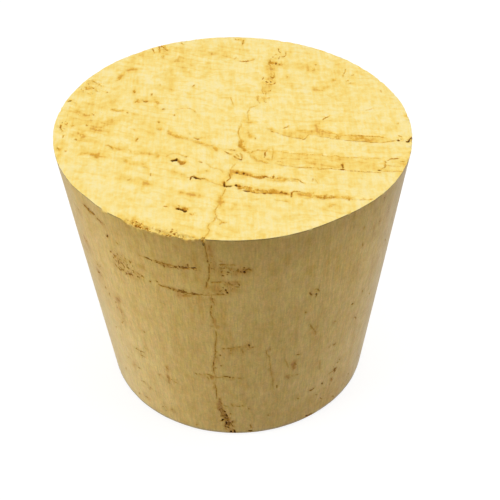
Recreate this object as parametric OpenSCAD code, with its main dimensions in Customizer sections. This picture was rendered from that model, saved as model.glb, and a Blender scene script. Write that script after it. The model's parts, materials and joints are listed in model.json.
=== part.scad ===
// Tapered stopper of natural cork, one piece of bark.
//
// The body is a plain cone frustum. The wide end is a slice that is a little out of square, with
// a sharp edge, and the narrow end is square with a slightly broken edge. The bark's pores make
// one long fissure, which winds across the wide end and runs on down the front to a crumbled
// gouge at the foot. Cracks that follow the growth rings branch off it on both faces.
//
// Millimetres. The origin is the centre of the narrow end, which the stopper stands on, with +Z
// up and the front at -Y. Azimuths are degrees round from the front, towards +X.

/* [Body] */
// Diameter of the wide end, measured at the height of its centre
top_d = 45; // [38:0.5:60]
// Diameter of the narrow end
bottom_d = 36.5; // [24:0.5:44]
// Height on the axis
height = 38; // [25:0.5:60]
// How far the wide end is sliced out of square, in degrees, falling towards +X
top_slant = 0.9; // [0:0.1:3]
// Break on the edge of the narrow end
foot_break = 0.3; // [0.1:0.05:1]

/* [Cracks] */
// Width of the long fissure
fissure_w = 0.7; // [0.3:0.05:1.5]
// Depth of the long fissure
fissure_depth = 1.1; // [0.4:0.1:2.5]
// Width of a crack along a growth ring
crack_w = 0.45; // [0.2:0.05:1]
// Depth of a crack along a growth ring
crack_depth = 0.9; // [0.3:0.1:2]
// Width of the crumbled gouge at the foot of the fissure
gouge_w = 1.6; // [0.8:0.1:3]
// Depth of that gouge
gouge_depth = 1.5; // [0.5:0.1:3]

/* [Pits and chips] */
// Length of a pore pit
pit_l = 1.5; // [0.6:0.1:3]
// Width of a pore pit
pit_w = 0.7; // [0.3:0.05:1.5]
// Depth of a pore pit
pit_depth = 1.3; // [0.5:0.1:3]
// Length of the largest flake chipped off the rim of the wide end
chip_l = 2.4; // [0.8:0.1:5]
// Depth of a chip into the rim
chip_depth = 0.4; // [0.1:0.05:1]
// Width of the notch where a crack opens through the rim
notch_w = 1.1; // [0.5:0.1:2.5]
// Depth of that notch, down the side
notch_depth = 1.4; // [0.5:0.1:3]

/* [Hidden] */
$fn = 96;

top_r = top_d / 2;
bottom_r = bottom_d / 2;
taper = atan((top_r - bottom_r) / height);
blank_h = height + top_d * tan(top_slant) + 2; // the cone before its wide end is sliced
clear = 1;                                     // how far a cut starts outside the surface
tip = 0.5;                                     // how far a slit runs on past its ends, in widths

// Lines on the wide end are points [x, y], as shares of its radius.
TOP_FISSURE = [
    [[0.29, 0.87], [0.24, 0.67], [0.21, 0.44], [0.18, 0.27], [0.08, 0.13], [0.10, 0.03]],
    [[0.04, -0.04], [0.03, -0.22], [-0.04, -0.51], [-0.09, -0.76], [-0.16, -0.99]],
];
TOP_CRACKS = [
    [[0.20, -0.03], [0.42, -0.05], [0.67, -0.11], [0.97, -0.15]],
    [[0.08, -0.24], [0.49, -0.29], [0.93, -0.32]],
    [[0.16, -0.36], [0.57, -0.42], [0.89, -0.45]],
    [[0.01, -0.44], [0.16, -0.47], [0.42, -0.52]],
    [[0.01, -0.56], [0.11, -0.60], [0.30, -0.64]],
    [[0.40, -0.64], [0.71, -0.69]],
    [[-0.38, -0.04], [-0.11, -0.21], [0.03, -0.30]],
    [[-0.67, -0.18], [-0.24, -0.29]],
];
TOP_PITS = [[-0.31, -0.32], [-0.19, -0.48], [-0.28, -0.75], [0.57, -0.40], [-0.12, -0.88]];

// Lines on the side are points [azimuth, share of the height].
SIDE_FISSURE = [[-9, 0.99], [-8, 0.82], [-8.5, 0.66], [-7.8, 0.50], [-8.3, 0.34], [-8, 0.20]];
GOUGE = [[-8, 0.23], [-6.5, 0.12], [-4, 0.02]];
SIDE_CRACKS = [
    [[-43, 0.76], [-26, 0.77], [-15, 0.75], [-3, 0.78]],
    [[-30, 0.87], [-12, 0.87]],
    [[-6, 0.50], [6, 0.50]],
    [[-17, 0.34], [0, 0.34]],
    [[-32, 0.26], [-25, 0.25]],
    [[38, 0.21], [44, 0.25]],
];
SIDE_PITS = [[2, 0.87], [-60, 0.91], [-48, 0.96], [-59, 0.68], [26, 0.71], [14, 0.26]];

// Chips along the rim of the wide end are [azimuth, share of the largest one's size].
CHIPS = [
    [-41, 0.8], [-33, 0.5], [-30, 0.9], [-26, 0.6], [-22.5, 1], [-18, 0.6], [-15, 0.9],
    [-11, 0.5], [36, 0.7], [118, 0.6], [-150, 0.7],
];
NOTCH_AZIMUTH = 81; // where the first crack in TOP_CRACKS reaches the rim

function side_r(z) = bottom_r + (top_r - bottom_r) * z / height;
function rim_z(azimuth) = height - top_r * sin(azimuth) * tan(top_slant);

// Puts its children on the sliced wide end, at a point [x, y] of it, with +Z out of the cork.
module on_top(at = [0, 0]) {
    translate([0, 0, height]) rotate([0, top_slant, 0]) translate([at.x, at.y, 0]) children();
}

// Puts its children on the side, with +X round it, +Y up the slope and +Z out of the cork.
module on_side(azimuth, z) {
    rotate([0, 0, azimuth]) translate([0, -side_r(z), z]) rotate([90 + taper, 0, 0]) children();
}

// A slit with pointed ends along +X, centred, cut down from the surface.
module slit(length, width, depth) {
    arc_r = (length * length + width * width) / (4 * width);
    translate([0, 0, -depth]) linear_extrude(depth + clear) intersection() {
        translate([0, arc_r - width / 2]) circle(arc_r);
        translate([0, width / 2 - arc_r]) circle(arc_r);
    }
}

// A pore where two slits of a line meet. It is a little deeper than they are, and their tips end
// inside it.
module pore(width, depth) {
    translate([0, 0, -1.2 * depth]) cylinder(h = 1.2 * depth + clear, d = width);
}

// A crack in the wide end: a slit for each stretch between two points of the line, and a pore at
// each point that joins two of them.
module top_line(points, width, depth) {
    for (i = [1 : len(points) - 1]) {
        from = points[i - 1] * top_r;
        to = points[i] * top_r;
        run = to - from;
        on_top((from + to) / 2) rotate(atan2(run.y, run.x)) slit(norm(run) + tip * width, width, depth);
        if (i > 1) on_top(from) pore(width, depth);
    }
}

// The same in the side, where each slit lies in the plane that touches the cone at its middle.
module side_line(points, width, depth) {
    for (i = [1 : len(points) - 1]) {
        from = points[i - 1];
        to = points[i];
        middle = (from + to) / 2;
        z = middle.y * height;
        run = [(to.x - from.x) * PI / 180 * side_r(z), (to.y - from.y) * height / cos(taper)];
        on_side(middle.x, z) rotate(atan2(run.y, run.x)) slit(norm(run) + tip * width, width, depth);
        if (i > 1) on_side(from.x, from.y * height) pore(width, depth);
    }
}

module blank() {
    rotate_extrude() polygon([
        [0, 0],
        [bottom_r - foot_break, 0],
        [side_r(foot_break), foot_break],
        [side_r(blank_h), blank_h],
        [0, blank_h],
    ]);
}

// Everything above the slice that makes the wide end.
module above_slice() {
    on_top() translate([-top_d, -top_d, 0]) cube([2 * top_d, 2 * top_d, blank_h]);
}

module top_flaws() {
    for (line = TOP_FISSURE) top_line(line, fissure_w, fissure_depth);
    for (line = TOP_CRACKS) top_line(line, crack_w, crack_depth);
    for (at = TOP_PITS) on_top(at * top_r) slit(pit_l, pit_w, pit_depth);
}

module side_flaws() {
    side_line(SIDE_FISSURE, fissure_w, fissure_depth);
    side_line(GOUGE, gouge_w, gouge_depth);
    for (line = SIDE_CRACKS) side_line(line, crack_w, crack_depth);
    for (at = SIDE_PITS) on_side(at.x, at.y * height) slit(pit_l, pit_w, pit_depth);
}

// A chip is a slit half as wide as it is long, laid along the rim and facing up and out at 45
// degrees, so that its flat bottom takes a flake off the edge.
module chip(azimuth, share) {
    length = chip_l * share;
    on_side(azimuth, rim_z(azimuth)) rotate([-45, 0, 0]) slit(length, length / 2, chip_depth * share);
}

module rim_flaws() {
    for (spot = CHIPS) chip(spot[0], spot[1]);
    on_side(NOTCH_AZIMUTH, rim_z(NOTCH_AZIMUTH)) rotate(90) slit(2 * notch_depth, notch_w, notch_w);
}

module cork_stopper() {
    color("#E6CD8E") difference() {
        blank();
        above_slice();
        top_flaws();
        side_flaws();
        rim_flaws();
    }
}

cork_stopper();
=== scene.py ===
"""The looks of a tapered stopper of natural cork.

One piece replaces the plain CAD node. It is a fine mesh of the same cone frustum, refined round
every pore and crack, which are pushed in as real relief. The bark's marks are drawn as lines,
patches and bands in millimetres on each face. A procedural material adds the growth rings, the
mottling and the fine streaks. Lengths are millimetres, apart from those of the floor, lights and
camera, which are metres. Azimuths are degrees round from the front (-Y), towards +X.
"""

import json
import math
from collections import namedtuple

import bmesh
import bpy
import numpy as np
from mathutils import Matrix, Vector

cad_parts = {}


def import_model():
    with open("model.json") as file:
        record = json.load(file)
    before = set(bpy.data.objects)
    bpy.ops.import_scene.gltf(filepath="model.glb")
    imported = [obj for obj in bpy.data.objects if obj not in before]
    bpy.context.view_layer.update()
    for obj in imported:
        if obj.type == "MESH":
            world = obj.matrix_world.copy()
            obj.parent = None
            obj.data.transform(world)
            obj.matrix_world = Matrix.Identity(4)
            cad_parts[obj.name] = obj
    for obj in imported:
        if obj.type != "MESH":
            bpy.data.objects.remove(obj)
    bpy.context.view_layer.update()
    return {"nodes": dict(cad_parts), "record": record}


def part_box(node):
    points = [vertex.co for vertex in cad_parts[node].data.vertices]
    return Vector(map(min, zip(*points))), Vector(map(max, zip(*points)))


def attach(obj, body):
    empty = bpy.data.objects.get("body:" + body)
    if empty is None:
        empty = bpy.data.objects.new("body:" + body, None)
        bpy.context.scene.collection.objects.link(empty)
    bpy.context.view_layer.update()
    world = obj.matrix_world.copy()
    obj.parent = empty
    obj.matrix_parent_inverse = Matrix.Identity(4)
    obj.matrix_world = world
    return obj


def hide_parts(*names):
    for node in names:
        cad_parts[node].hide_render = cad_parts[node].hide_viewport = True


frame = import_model()

# ---------------------------------------------------------------- sizes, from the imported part

MM = 0.001  # metres
ON_FOOT = 0.01  # the CAD node's corners below this lie on the foot's flat face
PAST_EDGE = 0.2  # corners this much farther out than that face are past its broken edge


def read_body():
    """The plain body's sizes: what the mounts state, and what the CAD node's own corners show."""
    faces = {m["name"]: m for m in frame["record"]["mounts"]}
    axis = faces["top_face"]["axis"]
    corners = np.array([v.co for v in frame["nodes"]["cork_stopper"].data.vertices]) / MM
    radius = np.hypot(corners[:, 0], corners[:, 1])
    low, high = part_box("cork_stopper")
    flat_r = radius[corners[:, 2] < ON_FOOT].max()
    return {
        "height": faces["top_face"]["pos_m"][2] / MM,
        "fall": axis[0] / axis[2],  # how much the wide end falls for each millimetre along +X
        "top_r": (high[1] - low[1]) / 2 / MM,
        "flat_r": flat_r,
        "edge_break": corners[radius > flat_r + PAST_EDGE, 2].min(),
    }


BODY = read_body()
HEIGHT, FALL, TOP_R = BODY["height"], BODY["fall"], BODY["top_r"]
FLAT_R, EDGE_BREAK = BODY["flat_r"], BODY["edge_break"]
TAPER = (TOP_R - FLAT_R - EDGE_BREAK) / HEIGHT
FOOT_R = FLAT_R + EDGE_BREAK
ARC = math.pi / 180 * (TOP_R + FOOT_R) / 2  # millimetres of the side for each degree, halfway up


def side_r(z):
    """The radius of the side at each height."""
    return FOOT_R + TAPER * z


def top_z(x):
    """The height of the wide end, which is sliced at a slant."""
    return HEIGHT - FALL * x


# ---------------------------------------------------------------- smooth noise

LATTICE = 64  # the noise repeats after this many cells
CONTRAST = 1.6  # spreads the values, which bunch round the middle, over the whole range


def noise(points, size, seed, octaves=1):
    """Smooth noise from 0 to 1, whose lumps are about size across, in two or three dimensions."""
    total, weight = 0.0, 0.0
    for octave in range(octaves):
        share = 0.5**octave
        total = total + share * lattice_noise(points / size * 2**octave, seed + octave)
        weight += share
    return np.clip((total / weight - 0.5) * CONTRAST + 0.5, 0, 1)


def lattice_noise(points, seed):
    """Chance values at the corners of a grid, with an even curve between."""
    axes = points.shape[1]
    table = np.random.default_rng(seed).random((LATTICE,) * axes)
    cell = np.floor(points).astype(int)
    part = points - cell
    part = part * part * (3 - 2 * part)
    total = np.zeros(len(points))
    for corner in np.ndindex((2,) * axes):
        step = np.array(corner)
        weight = np.where(step, part, 1 - part).prod(axis=1)
        total += weight * table[tuple(((cell + step) % LATTICE).T)]
    return total


def smooth(value, low, high):
    """0 up to low, 1 from high on, and an even curve between. It falls if high is below low."""
    t = np.clip((value - low) / (high - low), 0, 1)
    return t * t * (3 - 2 * t)


def blend(low, high, share):
    """low where the share is 0, and high where it is 1."""
    return low + (high - low) * share


# ---------------------------------------------------------------- the bark's marks
#
# Points on the wide end and the foot are (x, y). Points on the side are (azimuth, z).
# They were drawn and rounded to a tenth. Ink is how dark a mark is, stain how ochre the cork
# round it is, and fray how ragged and broken it is. All three run from 0 to 1.

# A line of pores or a crack.
Crack = namedtuple("Crack", "width depth ink stain fray points", defaults=[()])
# A soft ochre line with no relief.
Streak = namedtuple("Streak", "width stain points")
# An oval of ochre stain, with dark specks in it, turned by angle.
Patch = namedtuple("Patch", "x y half_x half_y stain specks angle", defaults=[0, 0])
# A filled strip between two lines that run along x.
Band = namedtuple("Band", "stain sink upper lower")

# Each kind of crack: width, depth, ink, stain and fray
KINDS = {
    "notch": Crack(0.42, 0.8, 1, 0.7, 0.1),
    "pit": Crack(0.36, 0.5, 1, 0.7, 0.15),
    "black": Crack(0.27, 0.3, 0.9, 0.7, 0.25),
    "dark": Crack(0.27, 0.16, 0.62, 0.6, 0.35),
    "brown": Crack(0.26, 0.1, 0.42, 0.55, 0.4),
    "line": Crack(0.18, 0.07, 0.5, 0.45, 0.15),
    "faint": Crack(0.15, 0.05, 0.32, 0.45, 0.15),
    "rust": Crack(0.5, 0.08, 0.26, 1, 0.35),
    "burnt": Crack(0.6, 0.14, 0.46, 1, 0.35),
}


def lines_of(table, breadth=1.0, depth=1.0):
    """The cracks of a table that lists their points by kind, made broader and deeper."""
    made = []
    for kind, lines in table.items():
        drawn = KINDS[kind]
        drawn = drawn._replace(width=drawn.width * breadth, depth=drawn.depth * depth)
        made += [drawn._replace(points=points) for points in lines]
    return made


TOP_LINES = {
    "notch": [[(21.4, -3.9), (21.9, -3.4), (22.5, -2.9)], [(-3.9, -22.4), (-3.5, -21.9)]],
    "pit": [
        [(-7.6, -7.4), (-7.2, -7.4), (-7, -7.1), (-6.8, -7.1)],
        [(-6.8, -16.6), (-6.3, -16.8), (-5.9, -17), (-5.6, -17.2)], [(-6.5, -16.7), (-6, -16.8)],
        [(-1.4, -12.5), (-1, -12.7), (-0.4, -12.6)],
    ],
    "black": [
        [(-5.2, -11.1), (-5.1, -10.6), (-4.8, -10.5), (-4.5, -10.9), (-4, -11.1), (-3.6, -11.1)],
        [(-1.2, -11.7), (-1.2, -12.4)], [(0, -10), (0.4, -9.9)], [(1, -10), (1.3, -9.9)],
        [(1.5, -10.1), (1.6, -10.4)], [(0.1, -12.6), (0.3, -12.3)], [(0.6, -12.5), (0.8, -12.7)],
        [(1.1, -13.5), (1.5, -13.6), (1.8, -13.6)], [(2, -13.7), (2.4, -13.9)],
        [(20.2, -3.4), (20.5, -3.5)], [(17.1, -9.6), (17.4, -9.7)],
    ],
    "dark": [
        # The long fissure, back half
        [(6.2, 15.4), (6.1, 14.9)], [(4.4, 10.4), (4.7, 10.3)], [(5, 10.5), (5.2, 10.4)],
        # Where the lines meet in the middle
        [(-1, -5.6), (-0.7, -5.9), (-0.3, -6.1)], [(0, -6.4), (0.3, -6.8), (0.9, -7.3), (1.1, -7)],
        # The two cracks near the front
        [(3.4, -10.8), (3.8, -10.7), (4.2, -10.9), (4.6, -11), (4.7, -10.6)],
        [(2.4, -13.2), (3, -13.2), (3.4, -13.2)], [(2.4, -13.9), (3.2, -14), (4, -14), (4.4, -14)],
        [(0.9, -12.5), (1.7, -12.8), (2.2, -13)], [(6.6, -13.9), (6.6, -14.9)],
        [(5.2, -13.8), (5.4, -13.7), (6, -14), (6.2, -14.2)],
        # The two strips
        [(4.8, -1.2), (5.2, -1.4)], [(13, -8.4), (13, -9.5)], [(12.7, -9.6), (13.3, -9.6)],
        [(20.3, -8), (20.6, -8.1)],
        # Near the back and left rims
        [(7.3, 11.7), (7.3, 11.5)], [(-9, 3.9), (-8.8, 4)], [(-21.3, 6), (-20.9, 6.1)],
        [(-4.9, -2.6), (-4.5, -2.9), (-4.3, -2.8)], [(-21.7, 0.6), (-21.6, 0), (-21.3, -0.8)],
        [(1.4, 15.7), (2.1, 15.7)], [(-11.6, 6), (-11.3, 5.7), (-11, 6)],
    ],
    "brown": [
        [(5.5, 16.3), (5.4, 15.8), (5.2, 15.1), (5.3, 14.4)], [(5.2, 14.3), (5.5, 14), (5.6, 13.6)],
        [(4.6, 7.8), (4.4, 7.4), (4.5, 7.1)], [(-18.1, 9), (-17.9, 8.5), (-17.7, 8.4)],
        [(-19.4, 10.8), (-18.9, 11), (-18.3, 10.6), (-17.9, 10.3), (-17.5, 10.4)],
        [(-10, 20.1), (-9.6, 19.8), (-9.4, 19.3)], [(-21, 4.9), (-20.9, 4.6)],
        [(-10.1, 20), (-10.2, 19.2), (-10, 18.4)], [(6.3, 17.7), (6.2, 17.4)], [(5.9, 17.2), (5.7, 16.8)],
        [(5.7, 15.3), (5.6, 14.9)], [(6.5, 14.8), (6.6, 15.2)],
        [(5.7, 12.8), (5.7, 12.2), (5.5, 11.6), (5.3, 11.2), (5.1, 11.8)],
        [(4.1, 10), (4.6, 9.8), (5, 9.7), (5.4, 9.8), (5.6, 10.2)], [(3.9, 6.3), (4.3, 6.2), (4.9, 6.4)],
        [(4.2, 6), (4.2, 5.5), (4.4, 5.2)], [(3.5, 7.2), (3.4, 6.5), (3.4, 5.8), (3.5, 5.3)],
        [(-0.5, -5.1), (0.2, -5.2)], [(0.3, -6.1), (0.6, -6.7)], [(0.8, -5.9), (1, -6.5), (1.1, -7)],
        [(1.6, -5.7), (2.1, -5.8), (2.4, -5.6)], [(2.6, -5.6), (3.1, -5.3), (4, -5.4), (4.2, -5.2)],
        [(5.2, -8.4), (5.7, -8.5), (6.4, -8.7)], [(18.3, -7.9), (18.1, -8.6), (17.9, -9.1), (17.4, -9.5)],
        [(4.3, -0.7), (4.9, -0.8)], [(5.4, -1.5), (5.9, -1.9)], [(18, -2.6), (18.5, -2.7)],
        [(12.1, -2.8), (13.3, -3)], [(4.9, -11), (5.3, -10.9), (5.7, -10.9)],
        [(0.5, -13.2), (0.9, -13.2)], [(2.5, -14), (3.4, -14)],
        [(3.7, -13.4), (4.3, -13.3), (4.7, -13.6), (4.6, -13.9)],
        [(9.3, -14.5), (9.9, -14.6), (10.6, -14.4), (11.2, -14.6)],
        [(14.6, -15.6), (15.2, -15.5), (16, -15.4)], [(13.4, -15.2), (13.4, -15.6)],
        [(-5.3, -17.5), (-5, -17.7), (-4.7, -17.5)], [(-3.4, -9.3), (-3.3, -9.4)],
        [(-2.1, -18.1), (-1.8, -18.7), (-1.5, -19.2), (-1.6, -19.6)], [(-8.2, -1), (-7.8, -1)],
        [(-15.9, -3.9), (-15.4, -4), (-15, -4.4), (-14.8, -4.8)], [(-5.9, -6.5), (-5.6, -6.4)],
        [(-12.6, -11.3), (-12.2, -11.1)], [(-11.8, -2.5), (-11.9, -3.2)], [(-21.1, -1.8), (-21.2, -2.4)],
        [(-20.4, 5.8), (-20.2, 5.5)], [(-20, 3.9), (-20, 3.7)], [(-19.2, 3.2), (-19.1, 2.9)],
        [(-18.1, 3.2), (-17.9, 2.8)], [(-18.2, 1.8), (-18.1, 1.6)], [(-20.2, 0.6), (-20.2, 0.3)],
        [(-21.1, 0.9), (-20.9, 0.7), (-20.8, 1.1)], [(-18.6, 0.6), (-18.5, 0.3)],
        [(-19.1, -1.6), (-19, -2.1)], [(-19.6, -2.5), (-19.4, -2.7)], [(-17.4, -0.3), (-17.2, -0.6)],
        [(-20.5, -5), (-20.3, -5)], [(-17.8, 10.3), (-17.4, 9.5)],
        [(-19.4, 9.7), (-19.2, 9.1), (-18.9, 9)], [(-18.7, 9.6), (-18.5, 9.3), (-18.3, 9)],
        [(-19.7, 8.8), (-19.4, 8.5)], [(-18.9, 8), (-18.6, 7.8)], [(-16.6, 8.4), (-16.5, 8.1)],
        [(-12.8, 8.5), (-12.8, 7.9)], [(-12.9, 5.6), (-12.5, 5.9), (-12.5, 6.5)],
        [(-9.6, 9.9), (-9.6, 9.5)], [(-4.9, 3.4), (-4.8, 3)],
        [(-9.3, 20.1), (-9.2, 19.4), (-9, 18.9), (-9.4, 18.6)], [(0.5, 22.1), (0.6, 21.6), (1.1, 21.7)],
        [(1.8, 21.5), (1.8, 20.8), (1.6, 20.1)], [(2.1, 15.7), (2.4, 16), (2.9, 16.1), (3.3, 16.4)],
        [(0.9, 15.9), (1.4, 15.7)], [(11.5, 14.7), (11.5, 14.4)], [(15, 12.2), (14.9, 11.4)],
        [(15.3, 10.3), (15.5, 10.4)], [(15.6, 9.8), (15.8, 9.7)], [(20.6, 0), (20.7, 0.3)],
        [(2.7, -2.8), (2.7, -3.1)],
    ],
    "line": [
        [(6.5, 19.1), (6.5, 18.5), (6.8, 18)],
        [(7.5, 18.1), (7.5, 17.4), (7.2, 16.9), (6.7, 17), (6.5, 16.3)], [(4.2, 11.6), (4, 11)],
        [(5.1, 8.5), (5, 8)], [(4.1, -5.4), (3.8, -5.8), (3.8, -6.4), (3.7, -6.9)],
        # The strip that opens through the rim
        [
            (6.1, -2.1), (6.8, -2.5), (7.6, -2.8), (8.2, -2.9), (8.7, -3.2), (9, -2.8), (9.2, -2.3),
            (9.7, -2),
        ],
        [(6.3, -0.7), (6.8, -0.4), (7, -0.1)], [(14.6, -2.3), (16.4, -2.5), (18.6, -2.7)],
        [(13.8, -3.3), (15.4, -3.6), (16.2, -3.6), (16.6, -3.9), (18.3, -4), (19, -3.7), (20, -3.5)],
        [(20.5, -2.5), (20.9, -2.8)], [(11.4, 1.1), (11.8, 1.6), (12.3, 2.1)],
        # The wider strip
        [(18.5, -7.8), (19, -7.4), (20.1, -7.3)], [(5.1, -7.7), (5.6, -7.6)],
        [(6.4, -8.7), (7.7, -9), (9.8, -9.1)],
        [(9.9, -9.1), (10.2, -9.4), (11.6, -9.3), (12.6, -9.6), (13.4, -9.7)],
        [(13.6, -9.8), (14.6, -9.9), (15.8, -10), (17.4, -10.2)],
        # On from the two cracks near the front
        [(6, -11.3), (6.8, -11.3), (7.4, -11.4), (7.9, -12), (8.1, -12.1)],
        [(6.4, -14), (7, -13.7), (7.6, -13.8), (8, -14), (9.1, -14.1), (9.2, -14)],
        [(10, -15.3), (11.6, -15.4)], [(-0.7, -9.9), (-0.5, -10.6), (-0.5, -11), (-0.9, -11.6)],
        [(-1.5, -19.3), (-1, -19.3)], [(-9.9, -9.8), (-9.9, -10.3)], [(-4.2, -7.6), (-3.9, -7.8)],
        [(-6.6, -16), (-6.4, -16.2)], [(-8.2, -16.3), (-7.8, -16.3)], [(-21.6, -4.2), (-21.2, -5)],
        [(-10.6, 7.8), (-10.6, 7.2)], [(-13.6, 3.2), (-13.4, 3.1)], [(-7.5, 2.7), (-7.5, 2.4)],
        [(-9.5, 1.2), (-9.4, 0.8)], [(-5.1, 9.8), (-5.3, 9.4)],
        [(-11.1, 19.3), (-10.9, 18.7), (-10.7, 18.1)], [(-7, 21), (-6.7, 20.4)],
        [(0.6, 17), (0.5, 16.6), (0.3, 16.4)], [(15.4, 13.5), (15.3, 12.9), (15, 12.2)],
        [(16, 11.9), (16.4, 12)], [(19.5, 8), (19.6, 7.5)],
    ],
    "faint": [
        # The long fissure, middle and front
        [
            (3.2, 4.8), (2.7, 4.4), (2.2, 4.1), (2.1, 3.6), (1.9, 3), (1.9, 2.3), (2, 1.5), (1.9, 0.8),
            (2, 0.1),
        ],
        [(1, 0.5), (1, -0.1), (0.7, -0.6), (0.6, -1.3), (0.6, -2.1), (0.9, -3.3)],
        [(0.2, -8.2), (-0.2, -8.8), (-0.4, -9.3), (-0.7, -9.6)],
        [(-1.1, -13), (-1.3, -14), (-1.5, -14.6)],
        [
            (-1.9, -16), (-2.2, -16.7), (-2.3, -17.4), (-2.2, -18), (-2.3, -18.8), (-2.9, -19.4),
            (-3.1, -20),
        ],
        [(-3.1, -20), (-2.9, -20.6), (-3, -21.1), (-3.3, -21.6)], [(4, 8.9), (3.9, 8.3), (4.1, 7.3)],
        [(4.8, -5), (4.8, -5.8), (4.7, -6.6), (4.6, -7.3)],
        [(5, -5.6), (5.5, -5.6), (6.2, -5.9), (7.2, -6.1), (8.6, -6.2)],
        [(8.8, -6.3), (10.1, -6.4), (10.7, -6.4)], [(8.9, -6.3), (8.9, -6.8)],
        [(10.7, -6.2), (10.8, -6.8)],
        [
            (10.8, -6.7), (11.6, -6.8), (12.4, -6.7), (13, -7.1), (15.2, -7.1), (16, -7.4), (17.2, -7.3),
            (18, -7.5),
        ],
        [(18.2, -8.8), (19, -8.9), (20, -9)], [(17.6, -9.9), (20, -10)], [(8, -1.2), (8.9, -1.2)],
        [(10.8, -1), (11.6, -1.2), (12.2, -1.7), (13, -2.2), (14.6, -2.3)],
        [(10.3, -2.5), (11.4, -2.6), (12.1, -2.8)], [(6.2, -11.6), (7.4, -11.7)],
        [(9.3, -11.1), (9.2, -11.7)], [(9.5, -11.3), (9.8, -12.1)], [(8, -15), (9, -14.9), (9.3, -14.5)],
        [(4.6, -15.2), (5.4, -15.4), (6.2, -15.7)],
        [(-3.5, -11.2), (-2.9, -11.6), (-2.2, -12.1), (-1.5, -12.4)], [(-5.6, -10.7), (-5.2, -10.8)],
        [(-3.3, -8), (-2.7, -8.8), (-2.2, -9), (-1.6, -9.4), (-1.4, -9.8)], [(-5.5, -1.4), (-5.4, -1.9)],
        [(-12.9, -4.9), (-12.4, -5.5)], [(-10.9, -8.5), (-10.2, -8.8)], [(-12.5, -0.5), (-12.3, -0.8)],
        [(-8.2, -6.5), (-7.6, -5.9), (-6.8, -5.9), (-6.1, -6.4)],
        [(-7.3, 3.9), (-6.6, 4.1), (-5.6, 4.1), (-5.1, 3.7)],
        [(-1.5, 6.6), (-0.2, 6.6), (0, 5.2), (0.1, 4.5)], [(17.1, 3.3), (17.6, 3.5), (18.1, 3.8)],
        [(10.7, 8.5), (10.8, 8.3)],
    ],
    "burnt": [
        [(0.2, -12.5), (0.9, -12.8), (1.6, -13.2), (2.4, -13.6)],
        [(3.2, -13.6), (4, -13.7), (4.8, -13.8)], [(0, -9.9), (0.8, -10), (1.6, -10.2)],
        [(2.3, -13.5), (2.9, -13.4), (3.5, -13.4)], [(9.6, -14.8), (10.6, -15), (11.7, -15)],
        [(1.9, -10.3), (2.6, -10.7), (3.5, -11)], [(-6.8, -7.4), (-6.4, -7.8), (-6, -7.6)],
        [(0.9, -3.3), (0.8, -3.9), (0.9, -4.6), (1.3, -5.4)], [(-6, -16.5), (-5.6, -16.8)],
        [(-7.2, -2), (-6.5, -2.3)], [(5.4, 15.5), (5.6, 15)],
    ],
    "rust": [
        [(2.1, -6.3), (2.5, -6.7), (2.7, -7.2)], [(2.8, -7.4), (3.4, -7.5), (3.9, -8)],
        [(12.6, -2.5), (13.3, -2.5)],
        [(14.6, -2.6), (14.9, -3.2), (15.6, -3), (16.2, -2.8), (16.6, -3.4), (16.9, -3.9)],
        [(4, -11.3), (5, -11.5), (5.7, -11.6), (6, -11.3)], [(0.9, -12.8), (0.7, -13.1)],
        [(11.7, -15.1), (13.4, -15.2), (14.1, -15.4)], [(11, -16.9), (11.3, -16.6), (11.7, -16.5)],
        [(-6.8, -7.4), (-6.2, -7.8), (-6, -7.4)], [(-0.4, -9.6), (-0.5, -10.6)],
        [(-1.6, -14.7), (-1.8, -15.3), (-1.8, -15.8)], [(-9.4, -0.6), (-9.1, -0.6)],
        [(-8, -1.4), (-7.4, -1.9), (-6.7, -2.2), (-6.1, -2.6), (-5.2, -3)],
        [(-5, -3.3), (-4.4, -3.5), (-3.7, -3.9)], [(-3.7, -4.3), (-3.2, -4.1), (-2.7, -4.4)],
        [(-2.5, -4.7), (-2.1, -5.1), (-2.2, -5.4)], [(-9.4, -5.9), (-9.3, -6.8)],
        [(-17.4, -6), (-16.6, -6), (-16.5, -6.6)], [(-13.1, -7.2), (-12.8, -7.5)],
        [(-9.8, 5.8), (-9.6, 5.4)], [(-15.5, 4), (-14.8, 3.7), (-14.4, 3.6)],
        [(-9.6, 17.5), (-9.5, 16.9)], [(4.6, -13.7), (5.6, -14.1), (6.4, -14.4)],
        [(7.6, -14.2), (8.8, -14.5)],
        [(-15.5, 11), (-15.1, 11.2), (-15, 11.9), (-14.9, 12.6), (-14.6, 12.9)],
        [(-14.2, 13.6), (-13.8, 13.9), (-13, 13.8)], [(11.1, 13.6), (11, 13.3)],
        [(13.7, 10.9), (13.6, 10.5)], [(2, -2.1), (1.9, -2.6)], [(2.3, 0.6), (2.4, 0.5)],
    ],
}

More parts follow.
